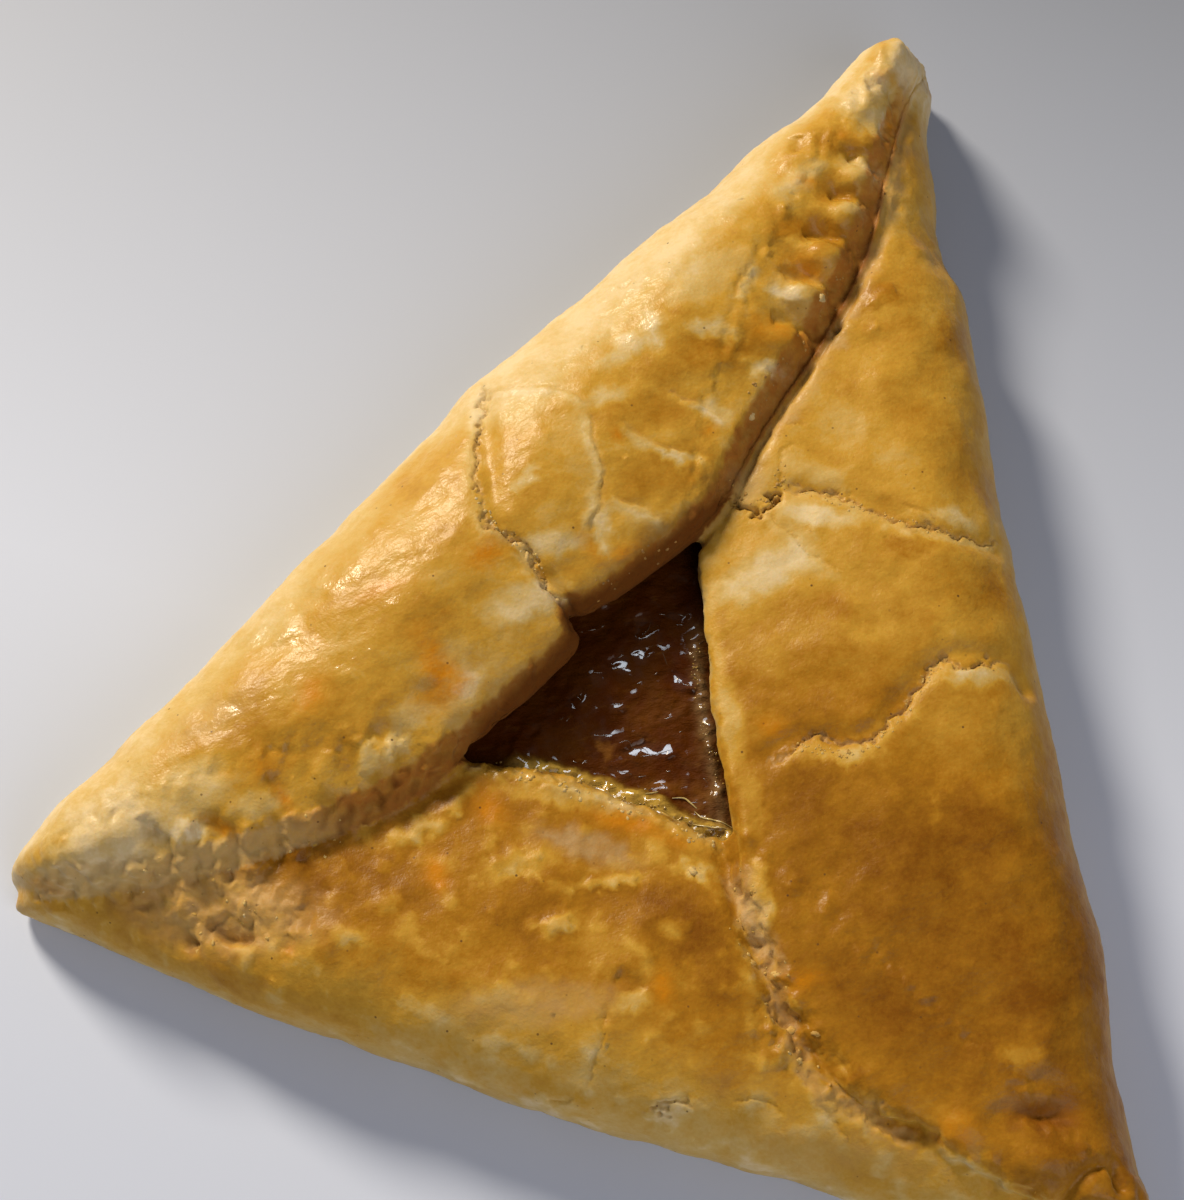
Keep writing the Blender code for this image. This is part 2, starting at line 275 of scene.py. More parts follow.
def fine_copy(node, name, voxel, rounds):
    """Return a copy of a node as a piece with small even faces."""
    bm = bmesh.new()
    bm.from_mesh(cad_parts[node].data)
    bmesh.ops.remove_doubles(bm, verts=bm.verts, dist=0.001 * MM)
    mesh = bpy.data.meshes.new(name)
    bm.to_mesh(mesh)
    bm.free()
    piece = new_piece(name, mesh)
    remesh = piece.modifiers.new("even", "REMESH")
    remesh.mode = "VOXEL"
    remesh.voxel_size = voxel
    soften = piece.modifiers.new("soften", "SMOOTH")
    soften.factor = 0.5
    soften.iterations = rounds
    settle(piece)
    print(name, "has", len(piece.data.vertices), "vertices")
    return piece


CRUST_VOXEL = 0.21 * MM
JAM_VOXEL = 0.30 * MM
crust = fine_copy("crust", "baked_crust", CRUST_VOXEL, 14)
jam = fine_copy("jam", "glossy_jam", JAM_VOXEL, 4)

# %% [markdown]
# ## Reading places off the pastry
# Baking leaves its marks along lines: free edges, seams, splits and creases. Each is drawn as a
# few points seen from above, in millimetres from the middle of the base. To press a mark into
# the crust, every vertex has to know how far it is from that line, on which side, and how far
# along. Arrays answer that for all the vertices at once.

# %% Lines seen from above
def smooth_line(points, steps=5):
    """Return the points of a smooth curve through a few points."""
    knots = [Vector(point) for point in points]
    padded = [knots[0]] + knots + [knots[-1]]
    line = [knots[0]]
    for before, start, end, after in zip(padded, padded[1:], padded[2:], padded[3:]):
        leave = start + (end - before) / 6
        arrive = end - (after - start) / 6
        line += interpolate_bezier(start, leave, arrive, end, steps)[1:]
    return np.array([tuple(point) for point in line])


def measure(line, places):
    """Return how each place lies to a line: its distance, plus on the line's left, its run along
    the line from 0 to 1, and the direction that leads square out to the line's right."""
    nearest = np.full(len(places), 1e6)
    side = np.ones(len(places))
    run = np.zeros(len(places))
    outward = np.zeros((len(places), 2))
    travelled = 0.0
    for first, second in zip(line[:-1], line[1:]):
        step = second - first
        length = math.hypot(*step)
        away = places - first
        share = np.clip(away @ step / length ** 2, 0, 1)
        gap = away - share[:, None] * step
        distance = np.hypot(gap[:, 0], gap[:, 1])
        nearer = distance < nearest
        nearest[nearer] = distance[nearer]
        side[nearer] = np.sign(step[0] * away[nearer, 1] - step[1] * away[nearer, 0])
        run[nearer] = travelled + share[nearer] * length
        outward[nearer] = (step[1] / length, -step[0] / length)
        travelled += length
    return nearest * side, run / travelled, outward


def rough(places, size, seed=0, turn=0, stretch=1):
    """Return smooth noise at each place, about -1 to 1, whose swells are so many mm wide.

    The swells may be stretched along a direction, which is turned from +X in degrees.
    """
    cosine = math.cos(math.radians(turn))
    sine = math.sin(math.radians(turn))
    scaled = np.stack([(places[:, 0] * cosine + places[:, 1] * sine) / stretch,
                       places[:, 1] * cosine - places[:, 0] * sine, places[:, 2]], axis=1)
    scaled = scaled / size + seed * 13.7
    return np.array([noise.noise(place) for place in scaled.tolist()])


def ease(values, low, high):
    """Return 0 below low, 1 above high, and a smooth rise between."""
    share = np.clip((values - low) / (high - low), 0, 1)
    return share * share * (3 - 2 * share)


def read(items, field):
    """Return a vector of each item as the rows of an array."""
    flat = np.empty(len(items) * 3)
    items.foreach_get(field, flat)
    return flat.reshape(len(items), 3)


def put(piece, co):
    """Move the vertices of a piece to the rows of an array, in metres."""
    piece.data.vertices.foreach_set("co", co.ravel())
    piece.data.update()


# %% [markdown]
# ## The flaps' free edges
# The tart is one disc of dough folded in from three sides: the front flap first, the right one
# over it, and the long left roll over both. The left roll sags a little further over its
# neighbours than the plain solid shows, so its edge slides outwards by up to 2.2 mm. The slide
# fades out over the next few millimetres, which keeps the skin smooth.

# %% Draw the edges and let the left one sag
SOLID_LEFT_EDGE = smooth_line(
    ((-49.0, -53.7), (-42.1, -50.6), (-33.6, -45.4), (-26.1, -39.7), (-21.1, -35.9),
     (-16.8, -29.8), (-12.8, -22.4), (-10.7, -17.7), (-12.1, -15.3), (-10.4, -13.9),
     (-7.4, -8.9), (-4.2, -1.0), (-3.1, 8.6), (-0.9, 18.3), (1.4, 29.2), (1.2, 39.3),
     (1.2, 48.3), (2.4, 56.9)))
RIGHT_EDGE = smooth_line(
    ((-0.4, 56.3), (-3.7, 42.3), (-6.2, 26.3), (-6.8, 10.3), (-5.2, -0.7), (-3.6, -5.1),
     (-1.4, -10.5), (3.0, -20.7), (8.2, -30.7), (11.0, -35.3), (14.6, -39.7), (18.6, -43.9),
     (23.2, -47.0), (27.6, -49.3), (33.2, -50.7), (41.8, -52.3), (51.4, -54.1)))
FRONT_EDGE = smooth_line(
    ((-50.8, -50.9), (-40.2, -41.7), (-29.2, -34.7), (-21.2, -31.3), (-14.2, -29.9),
     (-7.2, -29.2), (-0.2, -29.5), (4.4, -30.1), (9.4, -30.7), (16.8, -34.1), (27.8, -39.3),
     (40.8, -45.3), (52.4, -50.7)))
# the slide at places from the front to the back of the tart
SLIDE_AT = (-54, -50, -45, -40, -36, -30, -14, -9, -1, 9, 18, 29, 40, 57)
SLIDE = (0.0, 0.8, 1.5, 1.5, 0.5, 0.0, 0.0, 0.5, 1.5, 2.0, 2.2, 1.4, 0.8, 0.0)


def slide_line(line):
    """Return a line moved out to its right by the slide."""
    along = np.gradient(line, axis=0)
    along /= np.hypot(along[:, 0], along[:, 1])[:, None]
    square = np.stack([along[:, 1], -along[:, 0]], axis=1)
    return line + square * np.interp(line[:, 1], SLIDE_AT, SLIDE)[:, None]


def slide_skin(piece):
    """Move the skin of a piece outwards round the left flap's edge."""
    co = read(piece.data.vertices, "co") / MM
    away, _, outward = measure(SOLID_LEFT_EDGE, co[:, :2])
    share = ease(away, -3.4, -0.2) * (1 - ease(away, 2.0, 9.0))
    co[:, :2] += outward * (share * np.interp(co[:, 1], SLIDE_AT, SLIDE))[:, None]
    put(piece, co * MM)


LEFT_EDGE = slide_line(SOLID_LEFT_EDGE)
slide_skin(crust)
print("the left flap's edge slid out by up to", max(SLIDE), "mm")

# %% [markdown]
# ## Soft places
# In the oven the dough flows a little. By the left corner the left flap's foot has grown
# together with the front flap, and by the right corner the fold between the two lower flaps has
# closed. The solid's creases are deep there, so both are filled first: rays from above find the
# highest skin round every vertex, and their mean is a slope without a crevice.

# %% Fill the left corner's foot and the right corner's fold
RIGHT_FOLD = (40.4, -46.2)      # the middle of the right corner's fold
FOLD_REACH = 4.2                # how far round it the dough has closed


def fill(piece, weights, reach):
    """Raise the skin of a piece to the mean of what lies round it, where the weights say."""
    spots = read(piece.data.vertices, "co")
    skin = BVHTree.FromObject(piece, bpy.context.evaluated_depsgraph_get())
    ring = [Vector((math.cos(turn), math.sin(turn), 0)) * reach * MM
            for turn in np.linspace(0, math.tau, 8, endpoint=False)]
    for index in np.flatnonzero(weights > 0.02).tolist():
        above = Vector((*spots[index, :2], 40 * MM))
        hits = [skin.ray_cast(above + step, Vector((0, 0, -1)))[0] for step in ring]
        level = sum(hit.z for hit in hits if hit) / max(1, sum(1 for hit in hits if hit))
        spots[index, 2] += weights[index] * max(0.0, level - spots[index, 2])
    put(piece, spots)


spots = read(crust.data.vertices, "co") / MM
in_left = measure(LEFT_EDGE, spots[:, :2])[0]
above_foot = ease(spots[:, 2], 4, 6)
by_foot = ease(-spots[:, 1], 31, 38) * ease(1.6 - np.abs(in_left), 0, 0.8) * above_foot
fill(crust, by_foot, 1.1)
by_right = np.exp(-(np.hypot(*(spots[:, :2] - RIGHT_FOLD).T) / FOLD_REACH) ** 4) * above_foot
fill(crust, by_right, 2.4)
spots = read(crust.data.vertices, "co") / MM
print("filled", np.count_nonzero(by_foot > 0.02), "and", np.count_nonzero(by_right > 0.02),
      "vertices")

# %% [markdown]
# ## Melted places
# A Smooth modifier limited to a vertex group melts the filled places into the dough round them.
# It also softens the lobes by the back corner, which are crisp on the solid, and evens out the
# solid's broad cracks, because finer ones are pressed in their places later. The back lobes are
# full as well as soft, so they are raised a little at the end.

# %% Melt the filled places, the back lobes and the broad cracks
MELT_ROUNDS = 140
CRACKS = (                      # the solid's, as lines seen from above
    ((2.4, 2.9), (7.6, 3.9), (12.8, 2.6), (17.5, 2.9), (23.0, 5.2)),
    ((8.6, -23.6), (12.3, -19.6), (17.2, -19.1), (20.6, -9.7), (27.5, -6.6)),
    ((-25.9, 1.5), (-23.8, -5.3), (-22.5, -8.3)),
)


def melt(piece, weights, rounds):
    """Smooth the skin of a piece as strongly as the weights say."""
    group = piece.vertex_groups.new(name="melted")
    for index in np.flatnonzero(weights > 0.02).tolist():
        group.add([index], weights[index], "REPLACE")
    smooth = piece.modifiers.new("melt", "SMOOTH")
    smooth.vertex_group = group.name
    smooth.iterations = rounds
    settle(piece)
    piece.vertex_groups.clear()


by_back = ease(spots[:, 1], 12, 18) * ease(in_left, 0.3, 1.2) * ease(-in_left, -9, -7)
by_corner = ease(-spots[:, 1], 31, 38) * np.exp(-(in_left / 2.2) ** 2)
by_splits = sum(np.exp(-(measure(smooth_line(line), spots[:, :2])[0] / 1.8) ** 2)
                for line in CRACKS)
softness = np.minimum(by_back + by_corner + by_right + by_splits, 1)
melt(crust, softness * ease(spots[:, 2], 2, 4), MELT_ROUNDS)
spots = read(crust.data.vertices, "co") / MM
fullness = 0.9 * np.exp(-((in_left - 2.4) / 1.8) ** 2)
spots[:, 2] += fullness * ease(spots[:, 1], 16, 24) * ease(-spots[:, 1], -56, -52)
put(crust, spots * MM)
print("melted", np.count_nonzero(softness > 0.02), "vertices")

# %% [markdown]
# ## Where every vertex lies
# Every mark that follows needs the same few facts about each vertex: its place, its normal, and
# how far it lies from each of the three free edges. They are gathered once. A torn line is
# ragged, so each place also gets a small random shift, which is added before it is measured.

# %% Gather the places of a piece
class Places:
    """The vertices of a piece, and where each lies on the three flaps, in millimetres."""

    def __init__(self, piece):
        self.co = read(piece.data.vertices, "co") / MM
        self.normal = read(piece.data.vertex_normals, "vector")
        self.above = self.co[:, :2]
        self.in_left = measure(LEFT_EDGE, self.above)[0]        # plus on the left flap
        self.in_right = measure(RIGHT_EDGE, self.above)[0]      # plus on the right flap's side
        self.in_front = -measure(FRONT_EDGE, self.above)[0]     # plus on the front flap's side
        self.shake = np.stack([rough(self.co, 1.3, 1) + 0.5 * rough(self.co, 0.5, 2),
                               rough(self.co, 1.3, 3) + 0.5 * rough(self.co, 0.5, 4)], axis=1)

# %% [markdown]
# ## Marks along lines
# A mark is one stroke along a line, and a few kinds cover what the baked surface shows: open
# gaps, splits whose one side stands up as a pale lip, the torn seam, hairlines, soft creases,
# notches between lobes, flaking edges of the skin, and ridges, which are creases turned
# outwards. Every kind has its depth and width in millimetres, how far its line is shaken, how
# high its one side stands, how much painted shade darkens its groove, how torn the dough is
# there, and how pale its lip is, which along flaking edges is partly a painted highlight.

# %% Kinds of strokes
Shape = namedtuple("Shape", "depth width shake ledge dark torn lip")
GAP = Shape(0.9, 0.26, 1.10, 0.05, 0.8, 0.0, 0.0)
SPLIT = Shape(0.34, 0.17, 0.80, 0.08, 0.28, 0.5, 0.8)
SEAM = Shape(0.24, 0.60, 1.20, 0.05, 0.10, 0.5, 0.5)
HAIRLINE = Shape(0.14, 0.12, 0.40, 0.03, 0.12, 0.0, 0.4)
CREASE = Shape(0.34, 0.70, 0.35, 0.0, 0.12, 0.0, 0.0)
NOTCH = Shape(0.42, 0.75, 0.30, 0.0, 0.03, 0.0, 0.0)
FLAKING = Shape(0.08, 0.16, 0.40, 0.17, 0.0, 0.2, 0.9)
RIDGE = Shape(-0.24, 0.80, 0.50, 0.0, 0.0, 0.0, 0.0)
LEDGE_REACH = 0.8               # how far a raised side slopes back from its line
LIP_AWAY, LIP_WIDTH = 0.4, 0.45     # where its pale lip lies, and how wide it is

# %% Strokes on the right flap
RIGHT_STROKES = (
    # the two open splits
    (SPLIT, ((2.4, 2.9), (4, 3.3), (7.6, 3.9), (10.7, 3.2), (12.8, 2.6), (15.1, 2.8),
             (17.5, 2.9), (19.4, 3.3), (23, 5.2))),
    (SPLIT, ((8.6, -23.6), (10.6, -21.7), (11.2, -20.4), (12.3, -19.6), (14.1, -19.2),
             (17.2, -19.1), (18.1, -17.2), (19.2, -14.6), (20.6, -9.7), (21.8, -9.2),
             (23.3, -9.4), (24.9, -7.9), (27.5, -6.6))),
    (HAIRLINE, ((13.2, 4.2), (15.6, 4.4), (17, 3.6))),
    # the broken block under the left flap's edge, and the fine cracks round it
    (GAP, ((-3.2, 1.2), (-2.2, 0.2), (-0.6, 0.6), (0.6, -0.3), (1.6, 0.2), (1.7, 1.4),
           (2.3, 2.8))),
    (HAIRLINE, ((1.1, 0.1), (2.7, -0.4), (4.4, -1.5), (7, -3), (10.4, -3.8))),
    (HAIRLINE, ((2.2, 2.8), (1.3, 6.4), (2.4, 7.5))),
    (HAIRLINE, ((0.9, 9.2), (1.9, 9.9), (2.6, 9.6))),
    # the narrow strip beside the back corner
    (RIDGE, ((2.9, 20.8), (4.7, 20.9), (6.4, 21.7))),
    (RIDGE, ((4.4, 24.2), (5.6, 25.2), (6.6, 26.4))),
)

# %% Strokes on the left flap
LEFT_STROKES = (
    # the crumbly crack that parts it
    (SPLIT, ((-27.3, 4.4), (-26.9, 1.8), (-26, -1.4), (-24.8, -5.6), (-23.3, -8.6))),
    (SPLIT, ((-23.3, -8.6), (-22.1, -10.5), (-20.6, -10.7), (-19, -11.2), (-17.3, -11.9),
             (-15.9, -13.2), (-14.6, -14.2), (-13, -14.7), (-11.4, -15.8))),
    # the flaking lines of its skin
    (FLAKING, ((-26.6, 3.4), (-22, 4.6), (-17.9, 4.2), (-16.6, 3.2))),
    (FLAKING, ((-20.6, 15.5), (-19.3, 17.4), (-17.7, 17.6), (-17.2, 19.9))),
    (FLAKING, ((-7.6, 18.8), (-7.5, 20.8), (-7.2, 23))),
    (FLAKING, ((-13.7, 3.1), (-10.5, 2.2), (-6.6, 2.3))),
    (FLAKING, ((-10.7, 7.7), (-7.3, 7.6), (-4.5, 6.8))),
    (FLAKING, ((-12.2, -4.2), (-9.2, -4.5), (-6.8, -4.4))),
    (FLAKING, ((-16.6, 3.2), (-15.4, 0.4), (-13.4, -2.4), (-12.8, -8.6))),
    # the notches between the lobes by the back corner, and the crease down its right side
    (NOTCH, ((-2.6, 33.2), (-0.6, 34.2), (1.8, 34.8))),
    (NOTCH, ((-3.6, 28.6), (-1.4, 29.4), (1.6, 29.9))),
    (NOTCH, ((-4.4, 23.2), (-2, 24), (1.2, 24.7))),
    (NOTCH, ((-3.8, 18.4), (-1.6, 19.3), (0.8, 19.9))),
    (NOTCH, ((-2, 38.4), (-0.4, 39), (1.4, 39.2))),
    (CREASE, ((-7.2, 39), (-6.6, 36.8))),
    (CREASE, ((-2.6, 47), (-1, 47.8), (0.8, 47.6))),
    (CREASE, ((1.9, 48.4), (2.4, 46), (3, 43), (3.6, 40), (4, 37.2))),
    (CREASE, ((4, 37.2), (3.8, 33.7), (3.9, 29))),
    # the lumps and valleys by the left corner
    (CREASE, ((-37.1, -43.8), (-35.2, -44.2), (-33.2, -44.6))),
    (CREASE, ((-33, -38.6), (-30.9, -40.2), (-29.6, -41.2))),
    (CREASE, ((-42.6, -45.6), (-41, -46.6), (-39, -47.8))),
    (RIDGE, ((-25.2, -36), (-24.9, -34.6), (-24.9, -33.2))),
    (RIDGE, ((-23.4, -33.4), (-22.6, -31.8))),
    (RIDGE, ((-29.2, -37.8), (-28.2, -36.4), (-27.8, -34.8))),
)

# %% Strokes on the front flap
FRONT_STROKES = (
    # the pale roll behind the window's left end, and the lumps beside it
    (RIDGE, ((-21.4, -40.6), (-19.3, -39), (-17.4, -37.2), (-16.4, -35), (-15.6, -33.2))),
    (RIDGE, ((-11.8, -39.4), (-9.8, -38.4), (-7.4, -37.6))),
    (RIDGE, ((-3.2, -38.6), (-1, -37.8), (1.4, -36.8))),
    (RIDGE, ((-5.4, -43.5), (-4.2, -43), (-3, -42.4))),
    (CREASE, ((2.1, -45.8), (5, -46.2))),
    # cracks and slits in its side
    (HAIRLINE, ((2.3, -48.5), (2.5, -49.8), (2.7, -51.9), (2.8, -54.1), (2.5, -55.6))),
    (SPLIT, ((8.1, -55.5), (10, -54.6), (12, -53.7))),
    (HAIRLINE, ((-0.2, -57), (2, -56.6))),
    (HAIRLINE, ((15.3, -52.5), (17.5, -51.8), (19.9, -52.7))),
    (HAIRLINE, ((22.4, -50.6), (24, -51.4), (25.8, -52.9))),
    (CREASE, ((-26.4, -51), (-26, -52.6))),
    # the torn seam where the right flap ends on the front one, and its raised lips
    (SEAM, ((9, -32.4), (10.6, -34.8), (12.1, -37.1), (13.7, -39.6), (15.4, -42.2),
            (18, -45.4), (19.8, -47.8), (22.6, -49.9), (26.6, -50.2), (32, -51.4))),
    (RIDGE, ((10.2, -32.4), (11.6, -33.8), (12.6, -36.2), (13.9, -37.9))),
    (RIDGE, ((22.4, -48.6), (24.4, -49.3), (26.6, -48.7))),
    # the rim of the right corner's lower hollow
    (RIDGE, ((49.6, -47.6), (51.2, -49.2), (51.6, -51.4))),
)
STROKES = RIGHT_STROKES + LEFT_STROKES + FRONT_STROKES
print(len(STROKES), "strokes")


# %% Press one stroke
def press(stroke, places):
    """Return how far a stroke pushes each place in, how near it each place is, and its lip."""
    shape, points = stroke
    line = smooth_line(points)
    margin = 4 * shape.width + 3
    inside = np.all((places.above > line.min(axis=0) - margin)
                    & (places.above < line.max(axis=0) + margin), axis=1)
    away, run, _ = measure(line, places.above[inside] + shape.shake * places.shake[inside])
    tips = ease(np.minimum(run, 1 - run), -0.02, 0.12)
    groove = np.exp(-(away / shape.width) ** 2) * tips
    beside = (away < 0) * tips
    sunk, near, lip = np.zeros((3, len(places.co)))
    ledge = shape.ledge * np.exp(np.minimum(away, 0) / LEDGE_REACH) * beside * (1 - groove)
    sunk[inside] = shape.depth * groove - ledge
    near[inside] = groove
    lip[inside] = np.exp(-((away + shape.width + LIP_AWAY) / LIP_WIDTH) ** 2) * beside
    return sunk, near, lip


# %% [markdown]
# ## Patches
# Lobes, pits and patches of colour are all ragged ovals, so one kind of row serves for them:
# the middle, the half length and half width, the turn of the long way from +X in degrees, and
# how strong it is. They were judged against the photograph.

# %% Ovals
Oval = namedtuple("Oval", "x y long wide turn strength")


def ovals(*rows):
    """Return rows of six numbers as ovals."""
    return [Oval(*row) for row in rows]


LOBES = ovals(
    # the lobes by the back corner
    (0.2, 41.6, 1.8, 1.4, 30, 0.6), (0.2, 36.8, 2.2, 1.6, 25, 0.8), (-0.7, 32.2, 2.9, 1.7, 25, 0.9),
    (-1.4, 27, 3.3, 1.8, 20, 1), (-1.9, 21.8, 3, 1.7, 15, 0.8), (-2.4, 16.4, 2.6, 1.6, 10, 0.4),
    (-1.4, 52, 2.6, 2.2, 60, 0.4), (2.2, 52.4, 2, 1.3, 100, 0.6),
    # the lumps by the left corner
    (-33.2, -42, 3.4, 1.9, 20, 0.55), (-38.2, -45.2, 1.8, 1.1, 10, 0.35),
    (-28.4, -38.4, 2.2, 1.5, 50, 0.35), (-23.6, -33.4, 1.8, 1.2, 60, 0.25),
    # the narrow strip beside the back corner
    (7.4, 32.2, 1.6, 1.2, 20, 0.4), (8.4, 34.8, 1.2, 1, 0, 0.3), (4.4, 26.8, 1.6, 1, 60, 0.25),
    (12.8, 25.8, 3, 2.2, 80, 0.3),
    # beside the seam's lower end
    (24.3, -47.8, 2, 1.3, 10, 0.5), (34.3, -49, 2.2, 1.5, 10, 0.4),
    # crumbs baked into the seam
    (9.4, -33.6, 1.4, 0.8, -60, 0.35), (11.7, -37.5, 1.4, 0.8, -60, 0.4),
    (16.2, -41.2, 1.1, 0.8, 20, 0.5), (18, -42.9, 1.2, 0.8, -50, 0.4),
    (19.9, -44.9, 1, 0.8, 0, 0.45), (17.8, -47.9, 1.1, 0.8, 20, 0.4),
    (22.3, -50, 1.4, 0.8, 0, 0.35),
    # the right corner
    (41.6, -49.6, 3.6, 1.8, 14, 0.8),
    # the front flap's top
    (-4.2, -43, 1.9, 1, 35, 0.2), (-21.4, -49.6, 1.6, 1, -6, 0.25), (-19.3, -45.8, 1.5, 1, 27, 0.2),
    # the folds of torn dough by the left corner
    (-37.6, -48, 1.2, 2.6, 10, 0.45), (-34.6, -47.2, 1, 2.8, 14, 0.45),
    (-31.4, -46.2, 1.1, 2.6, 18, 0.4), (-28.3, -44.2, 1, 2.4, 24, 0.4),
    (-40.8, -49.4, 1.2, 2.2, 10, 0.4), (-22.8, -50.6, 1.6, 1.8, 20, 0.3),
    (-26.4, -49.2, 1, 2.6, 16, 0.35), (-29.4, -48.8, 0.9, 2.4, 12, 0.3),
    # wide swells on the left and the right flap
    (-15, 11.4, 3.4, 1.4, 50, 0.2), (-20, -2, 3, 1.4, 60, 0.15), (9.6, -12.6, 2.6, 1.6, 0, 0.15),
    (11.4, -6.6, 2.2, 1.4, 20, 0.12),
)
PITS = ovals(
    # by the left corner
    (-31.4, -52.6, 2, 0.6, 8, 0.8), (-33.4, -52.2, 0.8, 0.6, 60, 0.6),
    (-35.2, -54, 1.1, 0.6, -20, 0.7), (-41.2, -46.6, 0.8, 0.5, -10, 0.4),
    (-39, -47.9, 0.9, 0.5, 60, 0.4), (-40.2, -52.2, 0.9, 0.6, 30, 0.4),
    (-40.4, -49.8, 0.9, 0.4, 0, 0.3), (-33.6, -47.6, 0.6, 0.9, 0, 0.4),
    (-36.5, -48.8, 1, 0.5, 20, 0.3),
    # by the right corner
    (30.4, -50.4, 1.8, 0.8, 0, 0.3), (40.7, -45.7, 3.1, 1.3, 18, 0.9),
    (47.6, -52.2, 2.6, 1.1, 14, 0.6),
    # on the right flap and the front one
    (2.3, 20.6, 0.6, 0.4, 0, 0.5), (2.4, -49.6, 0.8, 0.4, 60, 0.2),
    # in the seam
    (12.9, -39.1, 1.1, 0.4, -10, 0.4), (14.8, -40.1, 0.8, 0.4, -50, 0.3),
    (17.8, -44.6, 1.1, 0.5, -50, 0.4), (20.4, -46.4, 1.2, 0.5, -20, 0.5),
    (27.6, -50.2, 1.2, 0.5, 5, 0.3),
)
TATTERED = ovals(
    (-33.5, -50.4, 8.4, 3.4, 8, 1), (-26, -48.8, 3, 2.2, 20, 0.5), (-35, -46.4, 8.4, 2.2, 30, 0.9),
    (12.4, -37.4, 4.4, 1, -48, 0.9), (17.6, -46, 3, 2.4, -50, 1), (-2.3, 13.8, 2.2, 0.8, 10, 0.7),
    (5.8, -34.2, 1.6, 0.8, 10, 0.8),
)
print(len(LOBES), "lobes,", len(PITS), "pits and", len(TATTERED), "tattered places")


# %% Measure to ovals
def reaches(patches, places, shaken):
    """For each oval, yield the places near it and how far out they lie, 1 at its outline."""
    spots = places.above + shaken * places.shake
    for oval in patches:
        away = spots - (oval.x, oval.y)
        near = np.flatnonzero(np.max(np.abs(away), axis=1) < 1.8 * max(oval.long, oval.wide))
        east, north = away[near].T
        cosine = math.cos(math.radians(oval.turn))
        sine = math.sin(math.radians(oval.turn))
        yield oval, near, np.hypot((east * cosine + north * sine) / oval.long,
                                   (north * cosine - east * sine) / oval.wide)


def cover(patches, places):
    """Return how strongly a list of ragged ovals covers each place."""
    covered = np.zeros(len(places.co))
    for oval, near, reach in reaches(patches, places, 0.8):
        share = oval.strength * ease(1.5 - reach, 0.0, 1.0)
        covered[near] = np.maximum(covered[near], share)
    return covered


def swell(lumps, places):
    """Return how high a list of soft round lumps stands at each place."""
    raised = np.zeros(len(places.co))
    for oval, near, reach in reaches(lumps, places, 0.25):
        raised[near] += oval.strength * np.exp(-1.4 * reach ** 2) * ease(1.75 - reach, 0, 0.5)
    return raised


# %% [markdown]
# ## A worn wall
# The left flap's free edge isn't round as on the solid: the dough's cut side stands there as a
# steep, ragged wall. The wall's width is read off a short table, from the front of the tart to
# its back, and the rounding above the wall is lowered towards a straight slope.

# %% Wear the left flap's edge
WALL_AT = (-54, -46, -36, -29, -25, -15.5, -13.5, 0, 16, 22, 40, 57)
WALL = (2.0, 2.6, 2.4, 2.0, 1.8, 1.7, 1.5, 1.6, 2.4, 2.4, 2.2, 0.8)
CHAMFER = 0.6                   # how much of the edge's rounding gives way to a flat wall


def wall_width(places):
    """Return how far in from the left flap's edge its worn wall begins, near each place."""
    return (np.interp(places.above[:, 1], WALL_AT, WALL)
            + 0.3 * places.shake[:, 0] + 0.2 * places.shake[:, 1])


def wear_wall(places):
    """Return how far to lower each vertex of the left flap's rounded edge to make it a wall."""
    width = wall_width(places)
    share = np.clip(places.in_left / width, 0, 1)
    lowered = width * (np.sqrt(1 - (1 - share) ** 2) - share)
    fades = ease(places.normal[:, 2], 0.0, 0.2) * ease(places.above[:, 1], -36, -28)
    return CHAMFER * lowered * fades


# %% [markdown]
# ## The crust's relief
# Three scales of unevenness lie over each other: soft swells of the dough, blisters a few
# millimetres wide, and a fine grain. The free edges and the tattered places are rougher, and
# the strokes, lobes and pits are added on top. Noise that is stretched one way gives the left
# flap its crinkles and the torn dough its hanging ribs.

# %% Relief of the crust
CRINKLES = 42                   # degrees from +X to the way the left flap's skin is crinkled
RIBS = 108                      # degrees from +X to the way the torn dough hangs


def flecks(places):
    """Return how strongly pale flaky flecks cover each place on the front flap."""
    on_top = ease(places.in_front, 0, 1) * (places.in_left < 0) * (places.in_right < 0)
    return on_top * ease(rough(places.co, 2.6, 17) + 0.4 * places.shake[:, 1], 0.10, 0.60)


def along_rim(places, width):
    """Return how near each place is to the front flap's rim at the window."""
    return (np.exp(-((places.in_front - 0.8 + 0.5 * places.shake[:, 0]) / width) ** 2)
            * ease(13 - np.abs(places.above[:, 0] + 5), 0, 2))


